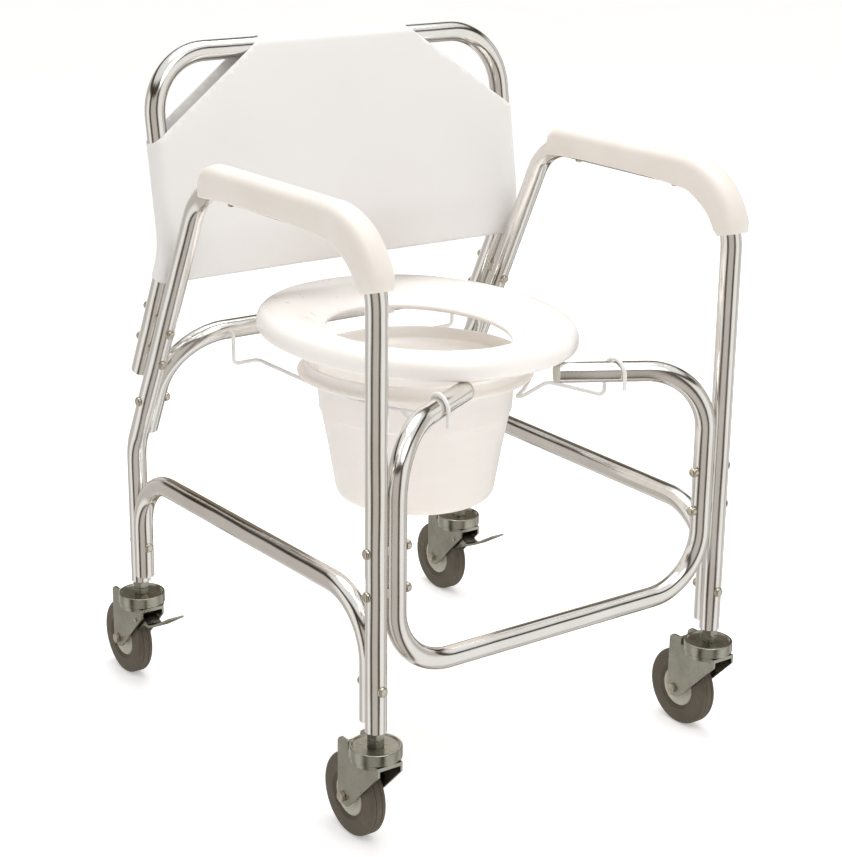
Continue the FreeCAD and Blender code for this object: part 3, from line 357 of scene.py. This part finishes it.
def tyre_material():
    """Dark warm grey rubber, scuffed and dusty."""
    m = Recipe("tyre_rubber")
    dust = m.noise(scale=55.0, detail=6.0, roughness=0.65)
    rubber, scuffed, dusty = (0.078, 0.063, 0.043), (0.108, 0.090, 0.063), (0.165, 0.143, 0.105)
    m.colour(m.ramp(dust, [(0.30, rubber), (0.62, scuffed), (0.80, dusty)]))
    m.roughness(dust, 0.50, 0.72)
    m.bump(m.noise(scale=420.0, detail=4.0), depth=0.00020, strength=0.4)
    m.bump(m.noise(scale=40.0, detail=3.0), depth=0.0006, strength=0.2)
    return m.material


def clouded_material(name, cloud, dark, light, rough, grain=None, **settings):
    """A plain finish whose colour and roughness vary in one cloud, over a fine grain.

    cloud is (scale, detail), rough the least and the greatest roughness, and grain
    (scale, detail, depth, strength).
    """
    m = Recipe(name, **settings)
    patches = m.noise(*cloud)
    m.colour(m.tint(patches, dark, light))
    m.roughness(patches, *rough)
    if grain:
        scale, detail, depth, strength = grain
        m.bump(m.noise(scale, detail), depth, strength)
    return m.material


MATERIALS = {
    "frame_aluminium": aluminium_material(),
    "pad_vinyl": pad_material(),
    "sling_vinyl": sling_material(),
    "seat_plastic": seat_material(),
    "clip_plastic": clouded_material(
        "clip_plastic", cloud=(45.0, 4.0), dark=(0.80, 0.77, 0.72), light=(0.86, 0.83, 0.79),
        rough=(0.35, 0.5), grain=(500.0, 4.0, 0.00008, 0.4), Coat_Weight=0.1),
    "pail_plastic": pail_material(),
    # White dip coating over steel wire, a little lumpy.
    "wire_coating": clouded_material(
        "dipped_wire", cloud=(80.0, 3.0), dark=(0.78, 0.765, 0.745), light=(0.86, 0.85, 0.835),
        rough=(0.30, 0.45), grain=(80.0, 3.0, 0.0004, 0.3), Coat_Weight=0.2),
    # Grey-cream moulded polyethylene of plugs and inserts.
    "plug_plastic": clouded_material(
        "moulded_plug", cloud=(60.0, 4.0), dark=(0.46, 0.43, 0.37), light=(0.56, 0.53, 0.47),
        rough=(0.42, 0.60), grain=(700.0, 4.0, 0.0001, 0.4)),
    # Nickel plate with a faint brassy tint, on bolts, screws, pins and spacers.
    "bolt_nickel": clouded_material(
        "nickel_plate", cloud=(160.0, 4.0), dark=(0.52, 0.47, 0.37), light=(0.70, 0.66, 0.57),
        rough=(0.16, 0.32), grain=(500.0, 2.0, 0.00006, 0.4), Metallic=1.0),
    "bearing_steel": clouded_material(
        "bearing_steel", cloud=(200.0, 3.0), dark=(0.55, 0.55, 0.55), light=(0.68, 0.68, 0.68),
        rough=(0.12, 0.22), Metallic=1.0),
    "caster_zinc": zinc_material(),
    "tyre_rubber": tyre_material(),
    # Mid-grey moulded wheel centre.
    "hub_plastic": clouded_material(
        "hub_plastic", cloud=(48.0, 5.0), dark=(0.42, 0.405, 0.325), light=(0.52, 0.505, 0.415),
        rough=(0.36, 0.52), grain=(380.0, 3.0, 0.00012, 0.4)),
}


def dress(thing, slot_name):
    """Gives an object the material of one of the record's slots."""
    thing.data.materials.clear()
    thing.data.materials.append(MATERIALS[slot_name])


def place_piece(thing, slot_name, body, node):
    """A finished piece: its material, the body that it rides on and the node that it stands for."""
    dress(thing, slot_name)
    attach(thing, body)
    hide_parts(node)


def dress_nodes():
    """Every CAD node that is still shown gets the finish of its slot."""
    for row in frame["record"]["subparts"]:
        node = frame["nodes"][row["node"]]
        dress(node, row["material_slot"])
        shade_smooth(node.data)


# ---------------------------------------------------------------- backrest sling

# The back tube's leg as (Y, Z) on its axis: at the hem, where its straights meet, at the top rail.
SLING_LOW_Z = 0.584
SLING_LOW = (0.1585, SLING_LOW_Z)
SLING_BEND = (0.1396, 0.622)
SLING_TOP = (0.17765, BACK_TOP_Z)
LOW_STEPS = 4
TURN_STEPS = 8
LEG_STEPS = 26

CLOTH = 0.0012
CLOTH_GAP = 0.0003
CLOTH_OFFSET = TUBE_RADIUS + CLOTH_GAP + CLOTH / 2
SLING_COLUMNS = 72
OVER_RAIL_STEPS = 12
ROUND_LEG_STEPS = 10

# How far the panels sink inwards: in the middle, at the hem and in ripples, whose noise runs this
# much per metre across, from hem to top, and between the front and rear panels.
BELLY = 0.0022
HEM_SLACK = 0.0012
RIPPLE = 0.0011
RIPPLES_ACROSS = 9
RIPPLES_UP = 2.5
PANELS_APART = 3.0

# The corners are cut off on a slant, from the side at this height to the top at this X.
CUT_SIDE_Z = 0.752
CUT_TOP_X = 0.112


def sling_line():
    """Axis of the back tube's leg in the YZ plane: points and forward normals, from the hem up."""
    low, bend, top = Vector(SLING_LOW), Vector(SLING_BEND), Vector(SLING_TOP)
    before = (low - bend).normalized()
    after = (top - bend).normalized()
    half_turn = (math.pi - before.angle(after)) / 2
    reach = BEND_RADIUS * math.tan(half_turn)
    inward = (before + after).normalized()
    centre = bend + inward * (BEND_RADIUS / math.cos(half_turn))
    entry, leave = bend + before * reach, bend + after * reach
    turn = (entry - centre).angle_signed(leave - centre)
    points = [low.lerp(entry, k / LOW_STEPS) for k in range(LOW_STEPS)]
    for k in range(TURN_STEPS + 1):
        points.append(centre + Matrix.Rotation(-turn * k / TURN_STEPS, 2) @ (entry - centre))
    points += [leave.lerp(top, k / LEG_STEPS) for k in range(1, LEG_STEPS + 1)]
    normals = []
    for i in range(len(points)):
        ahead = points[min(i + 1, len(points) - 1)] - points[max(i - 1, 0)]
        normals.append(Vector((-ahead.y, ahead.x)).normalized())
    return points, normals


def sling_slack(x, share, way):
    """How far a panel sinks towards the middle of the sleeve, a share of the way up from the hem."""
    across = math.cos(math.pi * x / (2 * BACK_TUBE_X)) ** 0.7
    belly = BELLY * across * math.sin(math.pi * min(1.0, share * 1.05))
    hem = HEM_SLACK * across * (1 - share) ** 3
    ripple = noise.noise(Vector((x * RIPPLES_ACROSS, share * RIPPLES_UP, PANELS_APART * way)))
    return belly + hem + ripple * RIPPLE * across


def sling_x(column):
    """X of a column of the panels, from one leg's axis to the other's."""
    return -BACK_TUBE_X + 2 * BACK_TUBE_X * column / SLING_COLUMNS


def sling_panel_row(bm, point, normal, share, way):
    """One level of the front panel (way 1) or the rear panel (way -1)."""
    row = []
    for column in range(SLING_COLUMNS + 1):
        x = sling_x(column)
        spot = point + normal * way * (CLOTH_OFFSET - sling_slack(x, share, way))
        row.append(bm.verts.new((x, spot.x, spot.y)))
    return row


def sling_over_rail(bm, top, normal):
    """The rows of cloth that turn over the top rail, from the front panel to the rear one."""
    along = Vector((normal.y, -normal.x))
    rows = []
    for k in range(1, OVER_RAIL_STEPS):
        angle = math.pi * k / OVER_RAIL_STEPS
        spot = top + (normal * math.cos(angle) + along * math.sin(angle)) * CLOTH_OFFSET
        rows.append([bm.verts.new((sling_x(column), spot.x, spot.y))
                     for column in range(SLING_COLUMNS + 1)])
    return rows


def sling_round_leg(bm, point, normal, sign, front, rear):
    """One level of the cloth round a leg, from a front vertex to a rear one."""
    band = [front]
    for k in range(1, ROUND_LEG_STEPS):
        angle = math.pi * k / ROUND_LEG_STEPS
        spot = point + normal * (CLOTH_OFFSET * math.cos(angle))
        x = sign * (BACK_TUBE_X + CLOTH_OFFSET * math.sin(angle))
        band.append(bm.verts.new((x, spot.x, spot.y)))
    return band + [rear]


def cut_sling_corners(bm):
    """Cuts off both upper corners on a slant, through front and rear."""
    side = Vector((BACK_TUBE_X + TUBE_RADIUS, 0, CUT_SIDE_Z))
    top = Vector((CUT_TOP_X, 0, BACK_TOP_Z + TUBE_RADIUS))
    run = top - side
    for sign in (-1, 1):
        bmesh.ops.bisect_plane(bm, geom=bm.verts[:] + bm.edges[:] + bm.faces[:],
                               plane_co=(sign * side.x, 0, side.z),
                               plane_no=Vector((sign * run.z, 0, -run.x)).normalized(),
                               clear_outer=True)


def make_sling():
    """Sleeve of cloth: front and rear panels joined over the top rail and round both legs."""
    points, normals = sling_line()
    shares = [i / (len(points) - 1) for i in range(len(points))]
    levels = list(zip(points, normals, shares))
    bm = bmesh.new()
    front = [sling_panel_row(bm, *level, 1) for level in levels]
    over_rail = sling_over_rail(bm, points[-1], normals[-1])
    rear = [sling_panel_row(bm, *level, -1) for level in reversed(levels)]
    bridge_all(bm, front + over_rail + rear, closed=False)
    for sign, column in ((-1, 0), (1, SLING_COLUMNS)):
        bands = [sling_round_leg(bm, point, normal, sign, front_row[column], rear_row[column])
                 for point, normal, front_row, rear_row in zip(points, normals, front, reversed(rear))]
        bridge_all(bm, bands, closed=False)
    cut_sling_corners(bm)
    sling = object_from("backrest_sling_cloth", bm)
    solid = sling.modifiers.new("cloth", "SOLIDIFY")
    solid.thickness = CLOTH
    solid.offset = 0.0
    apply_modifiers(sling)
    place_piece(sling, "sling_vinyl", "frame", "backrest_sling")


# ---------------------------------------------------------------- arm pads

# The pads end 16 mm inside the CAD pads at the rear and 5.5 mm inside them at the lower front end.
PAD_REAR_BACK = 0.345
PAD_END_Z = 0.6605
PAD_ARM_STEPS = 30
PAD_BEND_STEPS = 22

# Heights are measured outwards from the tube's axis.
PAD_HALF_WIDTH = 0.0182
PAD_TOP = 0.0290
PAD_BOTTOM = -0.0112
PAD_CROWN = 0.0011
PAD_TOP_ROUND = 0.0125
PAD_LOW_ROUND = 0.0030
PAD_ARCH = 0.0050
REAR_ROUND = 0.024
REAR_ROUND_SHARE = 0.85
REAR_WIDTH_SHARE = 0.86
REAR_NARROW_RUN = (-0.004, 0.010)

# Round the bend the saddle wraps further round the tube and closes in at its end; the changes
# happen between two shares of the bend.
SLEEVE_TOP = 0.0226
SLEEVE_WRAP = 0.0052
SLEEVE_WRAP_SHARES = (0.0, 0.45)
SLEEVE_CLOSE = 0.0022
SLEEVE_CLOSE_SHARES = (0.90, 1.0)
SLEEVE_ROUNDER = 0.009

EDGE_BEVEL = 0.0022
EDGE_BEVEL_DEGREES = 50


def pad_section(half_width, top, bottom, low_round):
    """A rounded section as (lateral, outward) points, crowned on top."""
    shoulder = half_width - PAD_TOP_ROUND
    heel = half_width - low_round
    crown_half = half_width - PAD_TOP_ROUND * 0.8
    crown_steps, bottom_steps = 8, 6
    points = arc((shoulder, top - PAD_TOP_ROUND), PAD_TOP_ROUND, 0, 78, 9)
    for k in range(1, crown_steps):
        across = 1 - 2 * k / crown_steps
        points.append((crown_half * across, top + PAD_CROWN * (1 - across ** 2)))
    points += arc((-shoulder, top - PAD_TOP_ROUND), PAD_TOP_ROUND, 102, 180, 9)
    points += arc((-heel, bottom + low_round), low_round, 180, 270, 5)
    points += [(-heel * (1 - 2 * k / bottom_steps), bottom) for k in range(1, bottom_steps)]
    points += arc((heel, bottom + low_round), low_round, 270, 360, 5)
    return points


def pad_rings(sign):
    """Rings of points along the arm from the rear end, and round the bend to the lower front end."""
    lateral = Vector((sign * (REAR_LEG_X - FRONT_LEG_X), WHEELBASE, 0)).normalized()
    side = Vector((lateral.y, -lateral.x, 0)) * sign
    leg = Vector((sign * FRONT_LEG_X, FRONT_LEG_Y, 0))
    up = Vector((0, 0, 1))
    rings = []

    def add_ring(centre, outward, *section):
        rings.append([centre + side * u + outward * v for u, v in pad_section(*section)])

    arm_length = PAD_REAR_BACK - BEND_RADIUS
    for k in range(PAD_ARM_STEPS + 1):
        run = arm_length * (1 - math.cos(math.pi * (k / PAD_ARM_STEPS))) / 2
        inset = max(0.0, REAR_ROUND - run)
        dip = REAR_ROUND - math.sqrt(REAR_ROUND ** 2 - inset ** 2)
        arch = math.sin(math.pi * (run / arm_length)) ** 0.8
        width_share = REAR_WIDTH_SHARE + (1 - REAR_WIDTH_SHARE) * ease(run, *REAR_NARROW_RUN)
        add_ring(leg + lateral * (PAD_REAR_BACK - run) + up * ARM_Z, up,
                 PAD_HALF_WIDTH * width_share, PAD_TOP - REAR_ROUND_SHARE * dip,
                 PAD_BOTTOM + PAD_ARCH * arch, PAD_LOW_ROUND)
    bend_centre = leg + lateral * BEND_RADIUS + up * (ARM_Z - BEND_RADIUS)
    bend_stop = math.acos((PAD_END_Z - ARM_Z + BEND_RADIUS) / BEND_RADIUS)
    for k in range(1, PAD_BEND_STEPS + 1):
        share = k / PAD_BEND_STEPS
        angle = bend_stop * k / PAD_BEND_STEPS
        outward = up * math.cos(angle) - lateral * math.sin(angle)
        close = SLEEVE_CLOSE * ease(share, *SLEEVE_CLOSE_SHARES)
        add_ring(bend_centre + outward * BEND_RADIUS, outward, PAD_HALF_WIDTH - close,
                 PAD_TOP + (SLEEVE_TOP - PAD_TOP) * share - close,
                 PAD_BOTTOM - SLEEVE_WRAP * ease(share, *SLEEVE_WRAP_SHARES) + close,
                 PAD_LOW_ROUND + SLEEVE_ROUNDER * share)
    return rings


def make_arm_pad(side_name, sign):
    """Saddle pad along the arm, closing to a sleeve round the front bend."""
    bm = bmesh.new()
    loft(bm, pad_rings(sign))
    pad_piece = object_from(f"arm_pad_{side_name}_cushion", bm)
    creases = pad_piece.modifiers.new("edges", "BEVEL")
    creases.width = EDGE_BEVEL
    creases.segments = 3
    creases.limit_method = "ANGLE"
    creases.angle_limit = math.radians(EDGE_BEVEL_DEGREES)
    apply_modifiers(pad_piece)
    place_piece(pad_piece, "pad_vinyl", "frame", f"arm_pad_{side_name}")


# ---------------------------------------------------------------- seat

# Half sizes across and front to back.
SEAT_BACK = 0.292
SEAT_HALF = (0.185, 0.224)
SEAT_FULLNESS = 2.15
HOLE_BACK = 0.287
HOLE_HALF = (0.106, 0.138)
HOLE_FULLNESS = 2.0
SEAT_LOW_Z = 0.5086
SEAT_SEGMENTS = 192

# Section of the ring: its breadth, the rounds outside and at the hole, and the top between them
# as (distance in from the outer edge, height above the underside).
RING_BREADTH = 0.079
UNDER_ROUND = 0.0075
SHOULDER_ROUND = 0.0190
SHOULDER_Z = 0.0112
LIP_ROUND = 0.0042
RING_TOP = ((0.0175, 0.0296), (0.0230, 0.0300), (0.0290, 0.0299), (0.0360, 0.0291), (0.0430, 0.0276),
            (0.0500, 0.0252), (0.0570, 0.0221), (0.0630, 0.0188), (0.0690, 0.0149), (0.0730, 0.0118))

# Hollows under the ring, round the rear rail and round the two clips on it.
RAIL_GROOVE_RADIUS = 0.0132
RAIL_GROOVE_HALF = 0.2
CLIP_X = 0.070
CLIP_WIDTH = 0.0264
CLIP_RADIUS = 0.0163
CUTTER_SIDES = 72


def oval_point(half, fullness, angle, back):
    """A point of an oval outline about the middle plane, X across and Y front to back."""
    spread = (abs(math.cos(angle)) / half[0]) ** fullness + (abs(math.sin(angle)) / half[1]) ** fullness
    reach = spread ** (-1 / fullness)
    return Vector((reach * math.cos(angle), reach * math.sin(angle), 0)) + Vector((0, back_of(back), 0))


def seat_profile():
    """Closed section of the ring as (distance in from the outer edge, height above the underside)."""
    points = arc((UNDER_ROUND, UNDER_ROUND), UNDER_ROUND, 270, 180, 5)
    points += arc((SHOULDER_ROUND, SHOULDER_Z), SHOULDER_ROUND, 180, 108, 8)[1:]
    points += RING_TOP
    points += arc((RING_BREADTH - LIP_ROUND, LIP_ROUND), LIP_ROUND, 62, -90, 8)
    return points


def rail_cutter(radius, low_x, high_x):
    """A closed round bar along X at the rear rail's axis."""
    section = arc((back_of(RAIL_BACK), RAIL_Z), radius, 0, 360 - 360 / CUTTER_SIDES, CUTTER_SIDES - 1)
    bm = bmesh.new()
    loft(bm, [[(x, y, z) for y, z in section] for x in (low_x, high_x)])
    return object_from("cutter", bm)


def make_seat():
    """Moulded ring: full outside, rolling down to a thin lip at the hole, hollowed over the rail."""
    profile = seat_profile()
    bm = bmesh.new()
    rows = []
    for k in range(SEAT_SEGMENTS):
        angle = 2 * math.pi * k / SEAT_SEGMENTS
        outer = oval_point(SEAT_HALF, SEAT_FULLNESS, angle, SEAT_BACK)
        inner = oval_point(HOLE_HALF, HOLE_FULLNESS, angle, HOLE_BACK)
        ring = []
        for inward, height in profile:
            spot = outer.lerp(inner, inward / RING_BREADTH)
            ring.append(bm.verts.new((spot.x, spot.y, SEAT_LOW_Z + height)))
        rows.append(ring)
    bridge_all(bm, rows + rows[:1])
    seat = object_from("seat_ring_moulding", bm)
    hollows = [(RAIL_GROOVE_RADIUS, 0.0, RAIL_GROOVE_HALF)]
    hollows += [(CLIP_RADIUS, sign * CLIP_X, CLIP_WIDTH / 2) for sign in (-1, 1)]
    for radius, middle, half in hollows:
        cutter = rail_cutter(radius, middle - half, middle + half)
        cut = seat.modifiers.new("hollow", "BOOLEAN")
        cut.operation = "DIFFERENCE"
        cut.object = cutter
        apply_modifiers(seat)
        bpy.data.objects.remove(cutter)
    place_piece(seat, "seat_plastic", "seat", "seat_ring")


# ---------------------------------------------------------------- pail

PAIL_WALL = 0.0020


def pail_outside():
    """The pail's outer face as (radius, height), from the middle of its bottom to the rolled rim."""
    bottom = [(0.0, 0.3010), (0.0600, 0.3006), (0.0865, 0.2990)]
    heel = arc((0.0900, 0.3120), 0.0130, 270, 352, 8)
    lower_wall = [(0.1120, 0.3650), (0.1205, 0.4100), (0.1212, 0.4140)]
    step = arc((0.1222, 0.4172), 0.0014, 270, 360, 3)
    upper_wall = [(0.1240, 0.4250), (0.1250, 0.4450), (0.1258, 0.4590)]
    flange = [(0.1270, 0.4620), (0.1300, 0.4630), (0.1490, 0.4634)]
    flange_edge = arc((0.1494, 0.4650), 0.0016, 270, 450, 6)
    collar = [(0.1440, 0.4668), (0.1425, 0.4690), (0.1420, 0.4760)]
    rim = arc((0.1412, 0.4794), 0.0026, 0, 180, 8)
    return bottom + heel + lower_wall + step + upper_wall + flange + flange_edge + collar + rim


def pail_inside():
    """The pail's inner face as (radius, height), from the rim down to the middle of its bottom."""
    collar = [(0.1386, 0.4740), (0.1384, 0.4680), (0.1370, 0.4660), (0.1240, 0.4650)]
    wall = [(radius - PAIL_WALL, z) for radius, z in (
        (0.1258, 0.4600), (0.1240, 0.4250), (0.1205, 0.4140), (0.1120, 0.3650), (0.1020, 0.3140))]
    bottom = [(0.0930, 0.3030), (0.0600, 0.3026), (0.0, 0.3030)]
    return collar + wall + bottom


def make_pail():
    """Thin moulded pail with a stepped wall, a flange that hangs on the wires and a rolled rim."""
    centre = Vector((0.0, back_of(PAIL_BACK), 0.0))
    pail = lathe("pail_shell", pail_outside() + pail_inside(), centre)
    place_piece(pail, "pail_plastic", "pail", "pail")


# ---------------------------------------------------------------- studio

CAMERA_AZIMUTH = math.radians(-35.637)
CAMERA_PITCH = math.radians(18.1)
CAMERA_ROLL = math.radians(0.557)
CAMERA_PLACE = Vector((-1.4160, -2.0042, 1.1817))
SENSOR_WIDTH = 36.0
FOCAL_PER_LONG_SIDE = 2.33218203

FLOOR_REACH = 14.0
FLOOR_STEPS = 28

# The studio's colour by bearing in degrees: 0 is towards the camera, and the bearing grows
# anticlockwise seen from above.
WHITE = (1.25, 1.24, 1.22)
BEIGE = (0.74, 0.70, 0.66)
EDGE = (0.34, 0.28, 0.20)
BROWN = (0.22, 0.17, 0.12)
DARK = (0.03, 0.024, 0.018)
BANDS = (
    (-180, EDGE), (-168, EDGE), (-160, WHITE), (-128, BEIGE), (-98, BEIGE), (-86, WHITE),
    (-62, WHITE), (-54, BROWN), (-47, DARK), (-38, BROWN), (-30, BEIGE), (16, BEIGE), (24, BROWN),
    (31, DARK), (38, BROWN), (46, WHITE), (84, WHITE), (96, BEIGE), (116, BEIGE), (124, WHITE),
    (136, WHITE), (142, DARK), (154, BROWN), (160, WHITE), (168, EDGE), (180, EDGE),
)
STUDIO_STRENGTH = 0.74

# White overhead, from one Z of the direction to another, and a dark stripe below it, which only
# reflections show; its stops run from 0 straight down to 1 straight up.
OVERHEAD_COLOUR = (1.15, 1.15, 1.15)
OVERHEAD_FROM = 0.60
OVERHEAD_FULL = 0.75
STRIPE_COLOUR = (0.05, 0.035, 0.022)
STRIPE_STOPS = ((0.69, 0.0), (0.72, 1.0), (0.80, 1.0), (0.83, 0.0))

BACKDROP_STRENGTH = 1.1
LIGHTS_TARGET = Vector((0, 0, 0.45))


def make_camera():
    """The photograph's camera."""
    back = Vector((math.sin(CAMERA_AZIMUTH) * math.cos(CAMERA_PITCH),
                   -math.cos(CAMERA_AZIMUTH) * math.cos(CAMERA_PITCH), math.sin(CAMERA_PITCH)))
    level = Vector((math.cos(CAMERA_AZIMUTH), math.sin(CAMERA_AZIMUTH), 0))
    upward = back.cross(level)
    right = level * math.cos(CAMERA_ROLL) + upward * math.sin(CAMERA_ROLL)
    top = upward * math.cos(CAMERA_ROLL) - level * math.sin(CAMERA_ROLL)
    data = bpy.data.cameras.new("camera")
    data.sensor_width = SENSOR_WIDTH
    data.lens = FOCAL_PER_LONG_SIDE * SENSOR_WIDTH
    camera = bpy.data.objects.new("camera", data)
    bpy.context.scene.collection.objects.link(camera)
    camera.matrix_world = Matrix((
        (right.x, top.x, back.x, CAMERA_PLACE.x),
        (right.y, top.y, back.y, CAMERA_PLACE.y),
        (right.z, top.z, back.z, CAMERA_PLACE.z),
        (0, 0, 0, 1)))
    bpy.context.scene.camera = camera


def make_floor():
    """Plain white studio floor, which glows a little to keep its shadows light."""
    bm = bmesh.new()
    marks = [FLOOR_REACH * (2 * i / FLOOR_STEPS - 1) for i in range(FLOOR_STEPS + 1)]
    bridge_all(bm, [[bm.verts.new((x, y, 0.0)) for y in marks] for x in marks], closed=False)
    floor = object_from("studio_floor", bm)
    m = Recipe("studio_floor", Roughness=0.9, Emission_Color=(1.0, 1.0, 1.0, 1.0),
               Emission_Strength=0.34, Specular_IOR_Level=0.0)
    m.colour(m.tint(m.noise(scale=2.0, detail=3.0), dark=(0.90, 0.90, 0.90), light=(0.92, 0.92, 0.92)))
    floor.data.materials.append(m.material)
    floor.visible_glossy = False


def studio_colour(g, glossy_ray):
    """The studio's colour in each direction: panels round the chair, white above, a dark stripe."""
    direction = g.nodes.new("ShaderNodeTexCoord").outputs["Generated"]
    turned = g.node("ShaderNodeVectorRotate", {
        "Vector": direction, "Angle": -math.atan2(CAMERA_PLACE.y, CAMERA_PLACE.x),
    }, rotation_type="Z_AXIS").outputs["Vector"]
    parts = g.node("ShaderNodeSeparateXYZ", {"Vector": turned}).outputs
    bearing = g.maths("ARCTAN2", parts["Y"], parts["X"])
    panels = g.ramp(g.spread(bearing, 0.0, 1.0, from_low=-math.pi, from_high=math.pi),
                    [((degrees + 180) / 360, colour) for degrees, colour in BANDS])
    above = g.spread(parts["Z"], 0.0, 1.0, from_low=OVERHEAD_FROM, from_high=OVERHEAD_FULL,
                     interpolation_type="SMOOTHSTEP")
    height = g.spread(parts["Z"], 0.0, 1.0, from_low=-1.0, from_high=1.0)
    stripe = g.ramp(height, [(position, (level,) * 3) for position, level in STRIPE_STOPS])
    return g.blend(g.maths("MULTIPLY", stripe, glossy_ray), g.blend(above, panels, OVERHEAD_COLOUR),
                   STRIPE_COLOUR)


def make_world():
    """White studio with dark gaps between the light panels, which the polished tubes pick up."""
    world = bpy.data.worlds.new("studio")
    bpy.context.scene.world = world
    world.use_nodes = True
    g = Graph(world.node_tree)
    g.nodes.clear()
    rays = g.nodes.new("ShaderNodeLightPath").outputs
    studio = g.node("ShaderNodeBackground", {
        "Color": studio_colour(g, rays["Is Glossy Ray"]), "Strength": STUDIO_STRENGTH})
    backdrop = g.node("ShaderNodeBackground", {
        "Color": (1.0, 1.0, 1.0, 1.0), "Strength": BACKDROP_STRENGTH})
    choose = g.node("ShaderNodeMixShader", {
        "Fac": rays["Is Camera Ray"], 1: studio.outputs[0], 2: backdrop.outputs[0]})
    g.node("ShaderNodeOutputWorld", {"Surface": choose.outputs[0]})


def make_light(name, place, width, power):
    """A round lamp that faces the chair."""
    data = bpy.data.lights.new(name, "AREA")
    data.shape = "DISK"
    data.size = width
    data.energy = power
    lamp = bpy.data.objects.new(name, data)
    bpy.context.scene.collection.objects.link(lamp)
    lamp.location = place
    lamp.rotation_euler = (LIGHTS_TARGET - place).to_track_quat("-Z", "Y").to_euler()


# ---------------------------------------------------------------- the scene

dress_nodes()
make_sling()
make_arm_pad("left", 1)
make_arm_pad("right", -1)
make_seat()
make_pail()
make_floor()
make_world()
make_light("key", Vector((-0.3, -2.0, 2.5)), width=1.6, power=12.0)
make_light("top", Vector((0.3, 0.3, 2.9)), width=2.0, power=44.0)
make_camera()
bpy.context.scene.view_settings.view_transform = "Standard"
